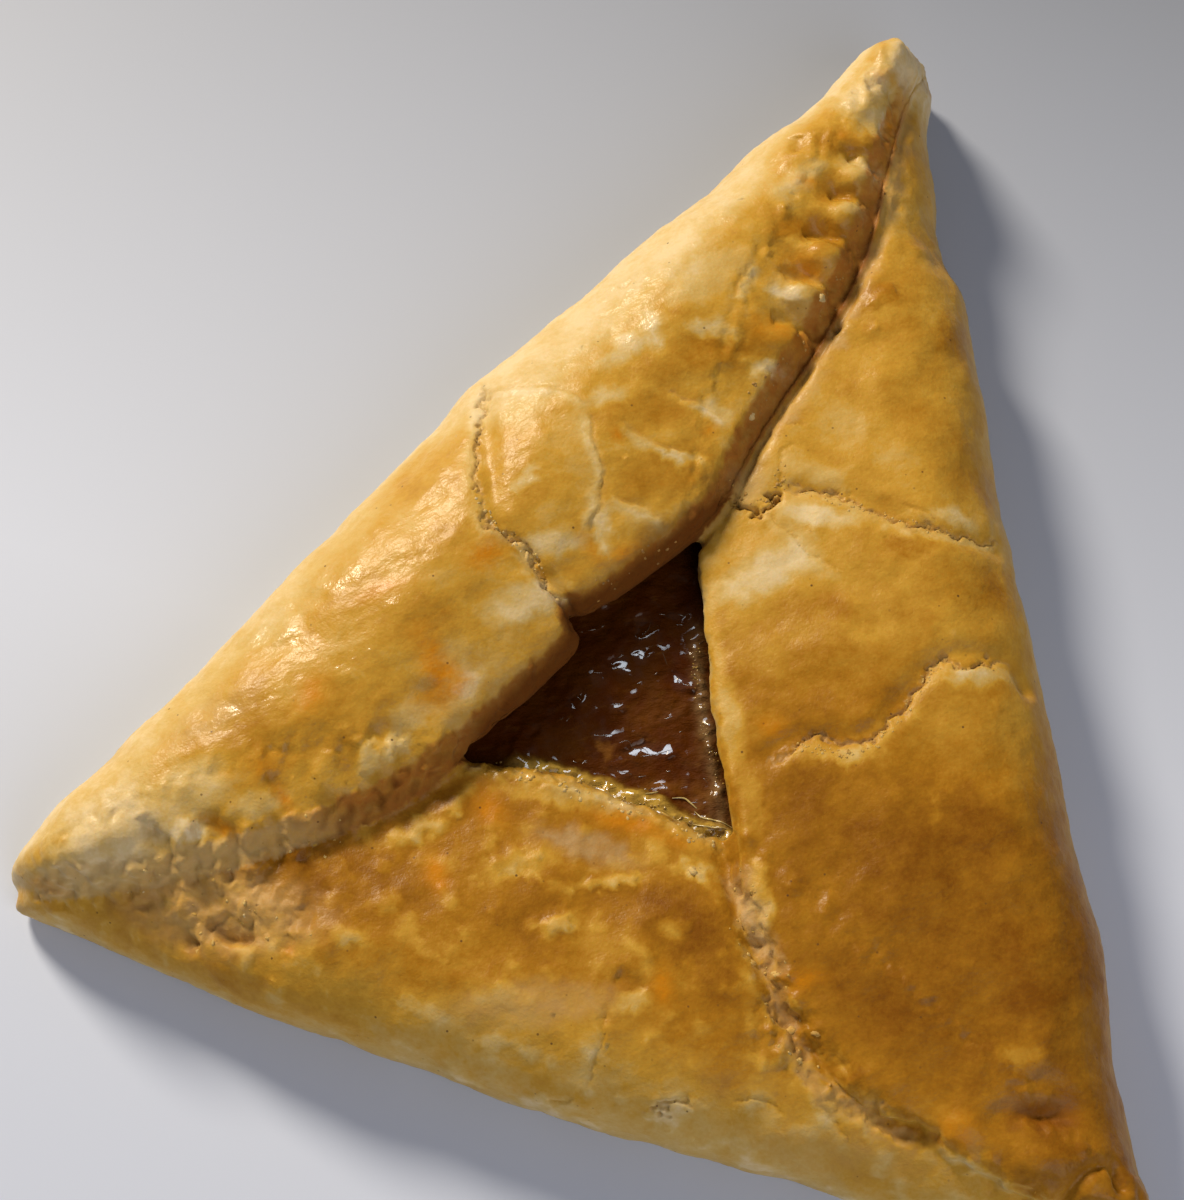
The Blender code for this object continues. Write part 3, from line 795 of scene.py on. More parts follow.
def crust_relief(places):
    """Return how far each vertex of the crust stands out, in millimetres."""
    co = places.co
    on_left = ease(places.in_left, 0, 2)
    relief = 0.22 * rough(co, 6.0, 5) + 0.16 * np.maximum(rough(co, 2.4, 6), -0.1)
    fine = rough(co, 0.5, 8)
    relief += 0.05 * rough(co, 0.95, 7) + 0.025 * fine
    relief -= on_left * 0.09 * np.abs(rough(co, 1.9, 9, CRINKLES, 2.2))
    edge = np.min(np.abs([places.in_left, places.in_right, places.in_front]), axis=0)
    crumbly = np.exp(-(edge / 1.1) ** 2) + 1.5 * cover(TATTERED, places)
    on_wall = (places.in_left > 0) * ease(wall_width(places) - places.in_left, 0, 0.5)
    crumbly += on_wall * (1 + ease(-co[:, 1], 30, 36))
    ribs = 0.36 * rough(co, 1.2, 10, RIBS, 2.4)
    relief += np.minimum(crumbly, 1.6) * (ribs + 0.14 * rough(co, 0.7, 11) + 0.05 * fine)
    relief += swell(LOBES, places) - 1.3 * swell(PITS, places)
    for stroke in STROKES:
        relief -= press(stroke, places)[0]
    # the left flap's foot is an open groove by the window, and is grown together by the corner
    foot = np.exp(-(places.in_left / 0.5) ** 2)
    together = ease(-co[:, 1], 34, 42)
    relief -= (1 - together) * 0.3 * np.exp(-((places.in_left + 0.5) / 0.6) ** 2)
    relief *= 1 - 0.6 * foot * (1 - together)
    # the front flap's rim at the window is a row of soft crumbs baked together
    rim = along_rim(places, 1.4)
    relief += rim * 0.30 * (np.abs(rough(co, 0.9, 14)) + 0.4 * rough(co, 0.45, 16))
    relief += 0.08 * flecks(places)
    # the underside and the foot stay as they are
    return relief * ease(co[:, 2], 0.6, 2.2) * ease(places.normal[:, 2], -0.5, -0.1)


# %% [markdown]
# ## Press and thin
# Every vertex moves along its own normal. A Decimate modifier then keeps small faces where the
# marks are and spends few on the flat underside, and what has grown out of the solid's box is
# pulled back into it. The finished skin takes the place of the solid.

# %% Press the relief and thin the skin
CRUST_TRIANGLES = 190000
GAP_TO_BOX = 0.01 * MM


def push_out(piece, places, relief):
    """Move every vertex of a piece along its normal."""
    put(piece, (places.co + places.normal * relief[:, None]) * MM)


def keep_in_box(piece):
    """Pull the skin of a piece back where it has grown out of the solid's own box."""
    co = read(piece.data.vertices, "co")
    put(piece, np.clip(co, np.array(cad_box[0]) + GAP_TO_BOX, np.array(cad_box[1]) - GAP_TO_BOX))


def thin_out(piece, triangles):
    """Collapse the least needed edges of a piece until it has about so many triangles."""
    count = sum(len(face.vertices) - 2 for face in piece.data.polygons)
    thin = piece.modifiers.new("thin", "DECIMATE")
    thin.ratio = min(1.0, triangles / count)
    thin.use_collapse_triangulate = True
    settle(piece)
    piece.data.shade_smooth()
    print(piece.name, "thinned from", count, "to", len(piece.data.polygons), "triangles")


before = Places(crust)
before.co[:, 2] -= wear_wall(before)
push_out(crust, before, crust_relief(before))
thin_out(crust, CRUST_TRIANGLES)
keep_in_box(crust)
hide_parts("crust")

# %% [markdown]
# ## How brown it is, and where
# An oven browns pastry unevenly: it stays pale along the outer fold and on torn dough, turns
# golden where it was brushed with egg, and scorches on thin high edges. These patches are ovals
# too. Each list goes roughly from the left flap over the right and front ones to the back corner.

# %% Scorched and golden places
SCORCHED = ovals(
    (-21, -13.5, 2.2, 1.4, 54, 1), (-22, -24.5, 3.2, 1.5, -40, 1), (-31.5, -31, 2.4, 1.5, 80, 0.8),
    (-28.5, -19.5, 3.4, 0.9, 37, 0.5), (-20.6, -26.6, 3.4, 1.8, 50, 0.6),
    (-33.5, -38, 2.8, 1.4, 44, 0.5), (-13.5, 1.5, 0.8, 0.5, -30, 1),
    (-12.5, -9.5, 1.7, 0.7, -40, 0.6), (-9, -8.6, 2.2, 0.8, 44, 0.8), (-2.5, 25, 3.4, 1.6, 23, 0.7),
    (-4, 29.2, 2.4, 0.9, 30, 0.5), (-4.5, 34, 1.8, 0.8, 20, 0.5), (-3.4, 17.6, 3.4, 1.3, 5, 0.6),
    (-5.6, 5.4, 1.1, 0.6, 60, 0.6), (-35.2, -44.2, 2, 0.6, -9, 0.9),
    (-30.8, -40.2, 2.2, 0.6, -35, 0.8), (-49.3, -53, 1.8, 0.6, 0, 0.8),
    (-26, -52.4, 0.9, 0.5, 90, 0.7), (-13.6, -34.6, 2.2, 1.4, -24, 0.8),
    (-16, -41.8, 1.8, 1.1, -56, 1), (-1.6, -31.8, 3.3, 1.1, 3, 1), (3.4, -32, 2.6, 0.9, 2, 0.5),
    (6.4, -45.5, 1.8, 1, -68, 1), (17.9, -41, 2, 0.9, 29, 1), (8.4, -19.8, 1.6, 1.1, 16, 0.6),
    (34.3, -49.2, 2.1, 1.4, 10, 0.7), (48, -52.6, 2.6, 1.2, 14, 0.7),
    (40.7, -45.6, 2.8, 1.1, 18, 0.9), (-1, 48.9, 1.6, 0.8, 20, 0.4), (0.9, 44.4, 1, 0.8, 80, 0.8),
    (-3, 40.2, 1.8, 0.5, 25, 0.4), (3, 53.3, 0.8, 0.8, 0, 0.3),
)
GOLDEN = ovals(
    (-7.5, 13, 7.2, 2.2, 36, 0.9), (-11.8, 4.8, 4.8, 1.9, 39, 0.8), (-9.7, 19, 3, 1.7, 57, 0.3),
    (-8.4, -0.4, 5, 2.4, 49, 0.7), (-12, 16, 2.2, 1, 2, 0.7), (-18.5, -6, 2.6, 1.3, 47, 0.5),
    (-27.5, -32, 5.6, 2.6, 40, 0.6), (-22.5, -21, 7, 2.6, 45, 0.2), (-35, -37, 5, 2.6, 44, 0.7),
    (-24.5, -13.5, 4.4, 2, 45, 0.5), (15.5, 12, 6.6, 3, -30, 0.5), (15.5, 0.5, 2.4, 0.9, 11, 0.7),
    (21.5, -1, 4.4, 2.2, 6, 0.5), (20.5, -24.5, 7.4, 3.4, -10, 0.3), (18.5, -7, 2.4, 1.3, -10, 0.4),
    (8.8, -8, 3.4, 1.6, 15, 0.5), (5.9, 25, 2.6, 1.3, 18, 0.7), (13, 24, 2.4, 2, 80, 0.6),
    (37.4, -36.4, 2.8, 1.8, 20, 0.5), (-11.7, -39.6, 2.6, 1.1, 62, 0.5),
    (6, -39.6, 4.8, 2.8, -15, 0.7), (10.5, -43.4, 2.6, 1.6, -35, 0.6), (-3, -40, 6, 2, 10, 0.4),
    (23.6, -47.6, 1.4, 0.9, 0, 0.6), (-1.6, 40.4, 4, 1.8, 30, 0.7), (-1.6, 34.6, 4, 2, 30, 1),
    (-2.4, 29, 4, 2.4, 20, 1), (-0.6, 46.6, 2, 0.9, 40, 0.4),
)

# %% Pale places, some of them painted sheen, and shiny places
# where the glaze shines, some pale ovals are a painted sheen; the others are pale dough
PALE_AND_PAINTED_SHEEN = ovals(
    (-13.9, 13.4, 2.2, 0.8, -52, 0.9), (-15.6, 10.4, 2.9, 1.2, 53, 0.8), (-8, 15.1, 2.7, 0.9, 9, 1),
    (-2.4, 13.8, 2.3, 0.9, 10, 1), (-15.2, 5.5, 2, 0.7, 41, 0.8), (-20, -5.5, 1.5, 0.5, 66, 0.8),
    (-7.4, 1.6, 2.3, 0.6, 13, 0.9), (-11.8, -7.6, 2.2, 0.8, -69, 0.9),
    (-15.5, -10.2, 2.6, 1.1, 26, 0.9), (-3.2, 21.6, 1.8, 0.6, 6, 0.9),
    (-5.8, 7.4, 1.6, 0.8, 0, 0.7), (-16.5, -16.4, 3.8, 1.6, 41, 0.9),
    (-18.7, -25.4, 1.7, 1.1, 83, 0.9), (-22.6, -29.8, 1.6, 1.3, 65, 0.7),
    (-23, -32.6, 1.5, 0.9, 66, 0.8), (-24.9, -34.8, 1.7, 0.9, 87, 0.8),
    (-45, -48, 5.4, 3.6, 50, 0.9), (-38, -45.4, 1.6, 0.9, 10, 1), (-32.6, -41.4, 2.4, 1, 30, 0.7),
    (-39, -42, 5, 2.4, 50, 0.6), (3.2, -5.9, 5.2, 1.9, 46, 1), (3.6, -18.5, 6.6, 1, -62, 0.7),
    (13.9, -8.6, 2.2, 0.9, 17, 0.2), (6.9, 1.2, 3.6, 1, 7, 0.9), (14.5, -20.8, 3.4, 0.8, 13, 0.9),
    (24.4, -9.8, 3.4, 0.8, 27, 0.9), (5, 5.4, 2.6, 1.2, -4, 0.5), (12, -34.9, 3.6, 0.9, -65, 1),
    (24.5, -23, 1.9, 0.4, -70, 0.5), (18.4, 4.9, 2.2, 0.9, 9, 0.7), (5.4, 11.1, 3, 2, -32, 0.4),
    (8.8, -27.6, 2.6, 1.3, -60, 0.7), (-19.3, -38.9, 2.8, 1, 39, 1), (-16.4, -34.9, 2, 0.8, 65, 1),
    (-8.3, -31.6, 5.4, 0.9, 8, 0.8), (-9.8, -39, 3.6, 1.4, 34, 0.8), (-1, -37.8, 2.8, 0.6, 29, 1),
    (-4.2, -43, 1.8, 0.8, 35, 0.9), (-19.3, -45.8, 1.5, 1, 27, 0.7),
    (-21.4, -49.7, 1.5, 0.9, -6, 0.8), (4.2, -47.6, 1.4, 0.9, 25, 0.9),
    (5.4, -40.6, 1.3, 0.8, -20, 0.7), (37.4, -41.5, 1.7, 1.1, 20, 0.8), (-0.9, 43, 2.4, 1.6, 40, 1),
    (-2.4, 46.4, 3.4, 2.4, 60, 1), (1.2, 52.6, 4.4, 3, 80, 1), (-10.5, 20.5, 4, 2, 55, 0.6),
    (-5.4, 33.6, 3, 1.4, 60, 0.6), (0, 37.4, 2.5, 1.7, 30, 0.9), (0.2, 32.8, 1.8, 1.2, 30, 0.6),
    (-3.2, 27.4, 1.6, 0.7, 20, 0.8), (5.8, -34.2, 1.8, 0.9, 10, 1),
)
# painted shade: darker places along the left flap's edge by the window, by the broken block and in
# the right corner's hollow
PAINTED_SHADE_PATCHES = ovals(
    (-9.3, -11.2, 2.6, 0.9, 60, 0.35), (-7, -6.4, 2.8, 1.1, 55, 0.5),
    (-4.4, -3.4, 1.9, 1.1, 60, 0.6), (-3.5, 0.4, 1.5, 1, 80, 0.45),
    (-12.2, -14.8, 1.5, 0.8, 60, 0.6), (-18.4, -31.4, 1.6, 1, 40, 0.5), (-1, 4, 2, 1, 80, 0.35),
    (40.7, -45.8, 2.6, 1, 18, 0.75),
)
ROSY = ovals(
    (-0.8, 2.6, 1.8, 1.6, 60, 0.7), (0.8, 11, 4.6, 0.8, 68, 0.6), (2.6, 20, 4.6, 0.8, 74, 0.6),
    (3.4, 29, 4.6, 0.9, 84, 0.6), (3.2, 38, 4.8, 1, 96, 0.6), (2.2, 46, 4.2, 0.9, 104, 0.5),
    (-4.2, -35.3, 4.4, 1.2, 1, 0.8), (-3.8, -50.4, 7, 1.8, 22, 0.5), (12.2, -37.3, 4.4, 1, -46, 1),
    (-33.5, -50.6, 8.6, 3.4, 8, 0.7), (-40, -35.5, 4, 1.6, 50, 0.4), (24, -54, 8, 1.4, 8, 0.3),
)
SHINY = ovals(
    (-28.5, -26.3, 3, 0.9, 38, 1), (-22.6, -21, 1.8, 0.5, 56, 1), (-24.5, -19.6, 1.2, 0.4, 54, 0.8),
    (-27, -20.6, 2, 0.6, 43, 0.6), (-33, -19.5, 2.4, 0.7, 42, 0.5),
    (-38.4, -33.7, 1.7, 0.7, -9, 0.6), (-36.5, -26.1, 3, 0.6, 14, 0.5),
    (-23.2, -16.4, 2.4, 0.5, 37, 0.5), (-35, -32.2, 1.7, 0.6, 10, 0.4),
    (-13.9, 13.4, 2.2, 0.6, -52, 0.6), (-15.4, 10.6, 2.8, 0.7, 53, 0.6),
    (-20, -5.5, 1.4, 0.4, 66, 0.7), (-8, 15.1, 2.6, 0.6, 9, 0.6), (-28.1, -36.3, 0.8, 0.5, -48, 1),
    (-38, -45.4, 1, 0.5, 0, 0.8),
)

# %% [markdown]
# ## From patches to marks
# The baking is a property of places, so it is written on the vertices as attributes, which the
# material reads, and the painted shade is written the same way. Gold comes from four things
# added up: a level for each flap, a slow change across it, noise, and the patches. Torn places
# come from the strokes and the worn wall. Dark places are painted shade in grooves, pits, at the
# foot of the left flap's wall and low round the window, where the jam has also soaked in.

# %% How golden each place is
WIDTH_AT = (-50, -40, -30, -20, -10, 10, 20, 30, 40, 50)
WIDTH = (5, 12, 20, 23, 25, 24, 21, 17, 13, 7)      # of the left flap, from front to back

after = Places(crust)
x, y, height = after.co.T
on_left = ease(after.in_left, -0.4, 0.4)
on_right = ease(after.in_right, -0.3, 0.3) * (1 - on_left)
on_front = (1 - on_left) * (1 - on_right)

outwards = after.in_left / np.interp(y, WIDTH_AT, WIDTH)
lower = ease(-y, -6, 6)
outer = ease(outwards - 0.15 * lower, 0.62, 0.86)
golden = on_left * (0.45 - (0.41 - 0.10 * lower) * outer)
# browner towards the front of the right flap: partly browning, partly painted shade
golden += on_right * (0.86 - 0.40 * ease(y, -32, 2) + 0.04 * ease(y, 3, 12))
golden -= on_right * 0.14 * np.exp(-after.in_right / 3.5)
golden += on_front * (0.74 - 0.34 * ease(-y, 45, 56) + 0.10 * ease(-x, 10, 20))
golden += 0.12 * rough(after.co, 7.0, 12) + 0.07 * rough(after.co, 2.6, 13)
golden *= 0.6 + 0.4 * ease(after.normal[:, 2], 0.1, 0.7)
golden -= 0.20 * flecks(after)
golden -= 0.36 * along_rim(after, 1.1) * on_front
golden += 0.24 * cover(GOLDEN, after) - 0.40 * cover(PALE_AND_PAINTED_SHEEN, after)
print("golden from", round(golden.min(), 2), "to", round(golden.max(), 2))

# %% Where it is torn, and where dark
SOAK_AND_SHADE_LEVEL = 12.6             # jam soak and painted shade darken the edges round the window up to this height, in millimetres

torn, dark, lip = np.zeros((3, len(after.co)))
for stroke in STROKES:
    shape = stroke[0]
    _, near, beside = press(stroke, after)
    torn = np.maximum(torn, shape.torn * ease(near, 0.0, 0.3))
    # painted shade: each stroke's groove is darkened as far as its kind says
    dark = np.maximum(dark, shape.dark * near)
    lip = np.maximum(lip, shape.lip * beside)
wall = (after.in_left > -0.2) * ease(wall_width(after) - after.in_left, 0, 0.35)
by_corner = ease(-y, 38, 44)
wall *= ease(-y, -52, -46)
foot = np.exp(-((after.in_left + 0.3) / np.where(after.in_left > -0.3, 1.2, 0.5)) ** 2)
down = wall * np.clip(1 - after.in_left / wall_width(after), 0, 1)
by_window = ease(y, -36, -26) * ease(-y, -3, 3)
# painted shade: the left flap's wall darkens down towards its foot, and the foot line is darkened
overlay = 0.15 * wall + 0.5 * foot + (0.2 * wall + 0.7 * down) * by_window
dark = np.maximum(dark, overlay * ease(y, -40, -24) * ease(-y, -38, -28))
# painted shade towards the wall's foot, with dark streaks running the way the torn dough hangs
foot_shade_and_streaks = down * 0.4 + np.maximum(rough(after.co, 0.9, 31, RIBS, 3.0), 0) * wall
dark = np.maximum(dark, foot_shade_and_streaks * ease(-y, 24, 34) * (1 - 0.8 * by_corner))
# painted shade in the pits
dark = np.maximum(dark, 0.6 * cover(PITS, after))
# painted shade and jam soak: low places round the window turn dark
round_window = ease(1.2 - np.hypot((x + 4) / 14, (y + 19) / 17), 0, 0.3)
soak_and_shade = round_window * ease(SOAK_AND_SHADE_LEVEL + 0.6 * after.shake[:, 0] - height, 0, 2.4)
# the painted shade patches join the dark mark
dark = np.maximum(dark, np.maximum(soak_and_shade, cover(PAINTED_SHADE_PATCHES, after)))
print("dark on", np.count_nonzero(dark > 0.3), "vertices")


# %% Write the marks on the vertices
def write(piece, name, values):
    """Store one number for each vertex of a piece."""
    attribute = piece.data.attributes.new(name, "FLOAT", "POINT")
    attribute.data.foreach_set("value", np.clip(values, 0, 1))


# pale lips beside raised edges: the torn dough's paler colour, and along flaking edges also a
# painted highlight
write(crust, "golden", golden - 0.30 * lip)
write(crust, "scorched", 1.2 * swell(SCORCHED, after))
write(crust, "torn", np.maximum(torn, np.maximum(wall * by_corner, cover(ROSY, after))))
write(crust, "wall", wall * (1 - by_corner))
write(crust, "dark", dark)
glazed = 0.10 * on_left * (1 - wall) * ease(outwards, 0.02, 0.2)
glazed += 0.08 * on_right * ease(y, -4, 8) + 0.6 * on_front * along_rim(after, 0.8)
write(crust, "shiny", np.maximum(cover(SHINY, after), glazed))
print("six baking marks on", len(after.co), "vertices")

# %% [markdown]
# ## The crust's finish
# Egg-washed pastry is a soft, slightly see-through dough under a thin uneven glaze. Its colour
# climbs from cream through gold to brown, so one ramp holds all of it and the golden mark picks
# a place on it. Noise at four widths breaks that up. The other marks are laid over it: the
# browned inner wall of an edge, scorched orange and torn crumb are stains, and the dark
# red-brown is painted shade in grooves, pits and low places, where jam has also soaked in. Tiny
# specks are bran in the flour. The glaze is a clear coat with a bump of its own, rougher than the
# dough's, so it sparkles where the shiny mark is.

# %% Crust material
INNER_WALL = (0.40, 0.15, 0.022, 1.0)
SCORCH = (0.57, 0.215, 0.004, 1.0)
TORN_CRUMB = (0.55, 0.39, 0.19, 1.0)
SHADE_AND_SOAK_BROWN = (0.12, 0.034, 0.003, 1.0)
BRAN = (0.10, 0.045, 0.015, 1.0)


def crust_finish():
    """Return the material of the baked pastry."""
    mix = Recipe("egg_washed_pastry")
    mottles = mix.noise(1.3, 3.0, 0.6)
    patterns = ((mix.noise(5.0, 4.0, 0.6), 0.07), (mottles, 0.05), (mix.noise(0.4), 0.035),
                (mix.noise(1.4, 2.0, 0.5, CRINKLES, 3.0), 0.03))
    golden = mix.mark("golden")
    for pattern, swing in patterns:
        golden = mix.math("ADD", golden, mix.spread(pattern, 0.3, 0.7, -swing, swing))
    colour = mix.ramp(golden, (0.0, (0.70, 0.55, 0.31)), (0.22, (0.60, 0.41, 0.13)),
                      (0.45, (0.54, 0.30, 0.035)), (0.72, (0.38, 0.17, 0.010)),
                      (1.0, (0.21, 0.075, 0.003)))
    ragged = mix.spread(mottles, 0.35, 0.65, 0.55, 1.05)
    stains = (("wall", 0.9, INNER_WALL), ("scorched", 1.0, SCORCH), ("torn", 0.7, TORN_CRUMB))
    for name, strength, overlay in stains:
        share = mix.math("MULTIPLY", mix.mark(name), ragged, clamp=True)
        colour = mix.mix(mix.math("MULTIPLY", share, strength), colour, overlay)
    # painted shade and jam soak: the dark mark turns the colour red-brown
    colour = mix.mix(mix.math("MULTIPLY", mix.mark("dark"), 0.92), colour, SHADE_AND_SOAK_BROWN)
    cells = mix.add("ShaderNodeTexVoronoi", Vector=mix.here, Scale=1 / (1.3 * MM))
    speck = mix.spread(cells.outputs["Distance"], 0.06, 0.11, 1.0, 0.0)
    chosen = mix.add("ShaderNodeSeparateColor", Color=cells.outputs["Color"]).outputs[0]
    speck = mix.math("MULTIPLY", speck, mix.spread(chosen, 0.6, 1.0, 0.0, 0.9))
    colour = mix.mix(speck, colour, BRAN)
    creases = mix.noise(1.0, 2.0, 0.5, CRINKLES, 2.0)
    normal = mix.bump(mix.noise(0.3, 2.0, 0.6), 0.07, 0.6, mix.bump(creases, 0.13, 0.5))
    roughness = mix.spread(mix.mark("golden"), 0.1, 0.7, 0.55, 0.36)
    for name in ("torn", "wall", "dark"):
        roughness = mix.math("ADD", roughness, mix.math("MULTIPLY", mix.mark(name), 0.25))
    roughness = mix.math("SUBTRACT", roughness, mix.math("MULTIPLY", mix.mark("shiny"), 0.3))
    glaze = mix.math("MULTIPLY", mix.mark("shiny"), mix.spread(mix.noise(4.0), 0.3, 0.7, 0.5, 1.5))
    sparkle = mix.bump(mix.noise(0.5, 2.0, 0.6), 0.08, 0.8, mix.bump(creases, 0.16, 0.9))
    return mix.finish(Base_Color=colour, Roughness=roughness, Normal=normal,
                      Subsurface_Weight=0.12, Subsurface_Radius=(1.0, 0.45, 0.18),
                      Subsurface_Scale=1.0 * MM, Specular_IOR_Level=0.18,
                      Coat_Weight=glaze, Coat_Roughness=0.2, Coat_Normal=sparkle)


def paint(piece, material, slot):
    """Give a piece its one material; when its slot is the jam, the glints fall on it too."""
    piece.data.materials.clear()
    piece.data.materials.append(material)
    if slot == "jam":
        JAM_PIECES.objects.link(piece)


PASTRY = crust_finish()
paint(crust, PASTRY, "crust")
print("crust finished with", len(PASTRY.node_tree.nodes), "nodes")

# %% [markdown]
# ## The jam
# Cooked pineapple jam is a dark, stiff jelly with fine fibres in it. Its surface is lumpy where
# bits of fruit lie under the skin. A cloudy film of it climbs against the right flap, and along
# the front flap's rim the syrup stands in a low bead. Where the photograph shows broad glints,
# a patch of the skin leans towards the light at the back. The fibres come as pieces later.

# %% Shape the jam
FRUIT = ovals(
    (-5.6, -25.2, 1, 0.5, -50, 0.8), (0.4, -27, 1.8, 0.7, 20, 0.4), (4, -27, 2.2, 1, 60, 0.35),
    (-2.6, -20, 2.4, 1.6, 40, 0.2),
)
WET = ovals(
    (-1.6, -24, 2.4, 0.7, 18, 1), (-6.2, -23.9, 1.1, 0.5, 25, 0.9),
    (-5.7, -12.8, 0.9, 1.4, 10, 0.7), (-7, -17, 1.2, 0.6, 0, 0.7), (-5.5, -15.4, 0.9, 0.5, 0, 0.7),
    (-1.2, -16.7, 1.2, 0.5, -25, 1), (-3.4, -26.7, 1.4, 0.5, 10, 0.7),
    (-6.1, -20.7, 0.8, 0.4, 25, 0.7), (0.4, -26.8, 1, 0.6, 20, 0.8),
    (-9.6, -21.2, 0.8, 0.5, 0, 0.6), (3.6, -27.6, 1.4, 0.5, 10, 0.8),
    (-1.2, -20.2, 0.9, 0.5, 30, 0.5),
)
LEAN = (0.18, -0.15)            # how steeply a wet patch rises along X and along Y
JAM_TRIANGLES = 60000


def lean(patches, places):
    """Return how high each oval's patch stands when it leans to the light at the back."""
    raised = np.zeros(len(places.co))
    for oval, near, reach in reaches(patches, places, 0.5):
        rise = (places.above[near] - (oval.x, oval.y)) @ LEAN
        raised[near] += rise * ease(1.3 - reach, 0.0, 0.4)
    return raised


jam_places = Places(jam)
facing_up = ease(jam_places.normal[:, 2], 0.2, 0.8)
strayed = 0.5 * jam_places.shake[:, 0]
by_flap = np.exp(-((jam_places.in_right + 0.4 + strayed) / 0.6) ** 2)
by_flap *= ease(-jam_places.above[:, 1], 9, 15)
by_rim = ease(jam_places.in_front + strayed, -1.8, -0.7) * ease(jam_places.above[:, 0], -15, -10)
relief = 0.25 * rough(jam_places.co, 3.0, 21) + 0.30 * np.abs(rough(jam_places.co, 1.5, 22))
relief += 0.10 * rough(jam_places.co, 0.8, 23, 40, 2.0)
relief += by_flap * (0.35 + 0.30 * rough(jam_places.co, 0.8, 24))
relief += by_rim * (0.75 + 0.35 * rough(jam_places.co, 0.7, 25))
relief = relief * (1 - 0.4 * cover(WET, jam_places)) + lean(WET, jam_places)
push_out(jam, jam_places, relief * facing_up)
write(jam, "film", by_flap * facing_up)
write(jam, "syrup", by_rim * facing_up)
write(jam, "fruit", cover(FRUIT, jam_places))
write(jam, "wet", cover(WET, jam_places))
thin_out(jam, JAM_TRIANGLES)
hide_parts("jam")

# %% [markdown]
# ## The jam's finish
# The jelly is nearly black-red and clears to amber where it is thin. Threads of fruit, cloudy
# film and olive-gold syrup lie over that as lighter stains. Only the wet patches carry a smooth
# clear coat, and the bumps under it break its glints into short squiggles.

# %% Jam material
JELLY = (0.050, 0.0100, 0.0003)
AMBER = (0.064, 0.0180, 0.0006)
FRUIT_THREAD = (0.16, 0.065, 0.010, 1.0)
CLOUDY_FILM = (0.19, 0.11, 0.040, 1.0)
FRUIT_PULP = (0.26, 0.10, 0.014, 1.0)
OLIVE_GOLD = (0.42, 0.25, 0.035, 1.0)


def jam_finish():
    """Return the material of the pineapple jam."""
    mix = Recipe("dark_pineapple_jam")
    threads = mix.noise(0.8, 4.0, 0.6, 35, 2.5)
    colour = mix.ramp(mix.noise(3.5, 4.0, 0.6), (0.35, JELLY), (0.75, AMBER))
    colour = mix.mix(mix.spread(threads, 0.58, 0.85, 0.0, 0.5), colour, FRUIT_THREAD)
    clots = mix.spread(mix.noise(0.9), 0.3, 0.7, 0.4, 1.0)
    for name, strength, overlay in (("fruit", 0.7, FRUIT_PULP), ("film", 0.7, CLOUDY_FILM),
                                  ("syrup", 0.9, OLIVE_GOLD)):
        share = mix.math("MULTIPLY", mix.mark(name), clots)
        colour = mix.mix(mix.math("MULTIPLY", share, strength), colour, overlay)
    wet = mix.math("MAXIMUM", mix.mark("wet"), mix.math("MULTIPLY", mix.mark("syrup"), 0.7))
    wet = mix.math("MAXIMUM", wet, mix.math("MULTIPLY", mix.mark("film"), 0.5))
    wet = mix.math("MAXIMUM", wet, mix.spread(mix.noise(1.3), 0.52, 0.70, 0.0, 0.5))
    squiggles = mix.bump(mix.noise(0.6, 4.0, 0.7, 25, 1.8), 0.30, 0.8)
    normal = mix.bump(mix.noise(1.6, 2.0), 0.3, 0.4, squiggles)
    return mix.finish(Base_Color=colour, Roughness=0.45, Normal=normal, Coat_Weight=wet,
                      Coat_Roughness=0.06, Specular_IOR_Level=0.02)


JELLY_FINISH = jam_finish()
paint(jam, JELLY_FINISH, "jam")
print("jam finished with", len(JELLY_FINISH.node_tree.nodes), "nodes")

# %% [markdown]
# ## Things that lie on the skin
# Crumbs, fibres and beads of syrup all lie on the crust or the jam. A point dropped from above
# finds the skin, so each small thing is given only its place as seen from above. Threads are
# curves with a round bevel and filled caps, swollen in the middle, and all threads of a kind are
# turned into one mesh.

# %% Drop a point, and lay threads
def skin_of(piece):
    """Return a tree that finds the skin of a piece."""
    return BVHTree.FromObject(piece, bpy.context.evaluated_depsgraph_get())


def drop(skin, x, y):
    """Return where a point dropped from above lands on a skin, and how the skin faces there."""
    place, facing, _, _ = skin.ray_cast(Vector((x, y, 40.0)) * MM, Vector((0, 0, -1)))
    return place, facing


def lay_threads(name, skin, lines, radius, lift, material, slot):
    """Add one piece of thin threads that follow lines over a skin."""
    curve = bpy.data.curves.new(name, "CURVE")
    curve.dimensions = "3D"
    curve.bevel_depth = radius * MM
    curve.bevel_resolution = 2
    curve.use_fill_caps = True
    for points in lines:
        landed = [drop(skin, x, y)[0] for x, y in smooth_line(points, 6)]
        landed = [place for place in landed if place is not None]
        spline = curve.splines.new("POLY")
        spline.points.add(len(landed) - 1)
        for step, (point, place) in enumerate(zip(spline.points, landed)):
            swell = math.sin(math.pi * (step + 0.5) / len(landed))
            point.co = (*(place + Vector((0, 0, lift * radius * MM))), 1.0)
            point.radius = 0.25 + 0.75 * swell * random.uniform(0.7, 1.0)
    holder = bpy.data.objects.new(name, curve)
    mesh = bpy.data.meshes.new_from_object(holder)
    bpy.data.objects.remove(holder)
    mesh.name = name
    mesh.shade_smooth()
    piece = new_piece(name, mesh)
    paint(piece, material, slot)
    print(name, "has", len(lines), "threads and", len(mesh.polygons), "faces")


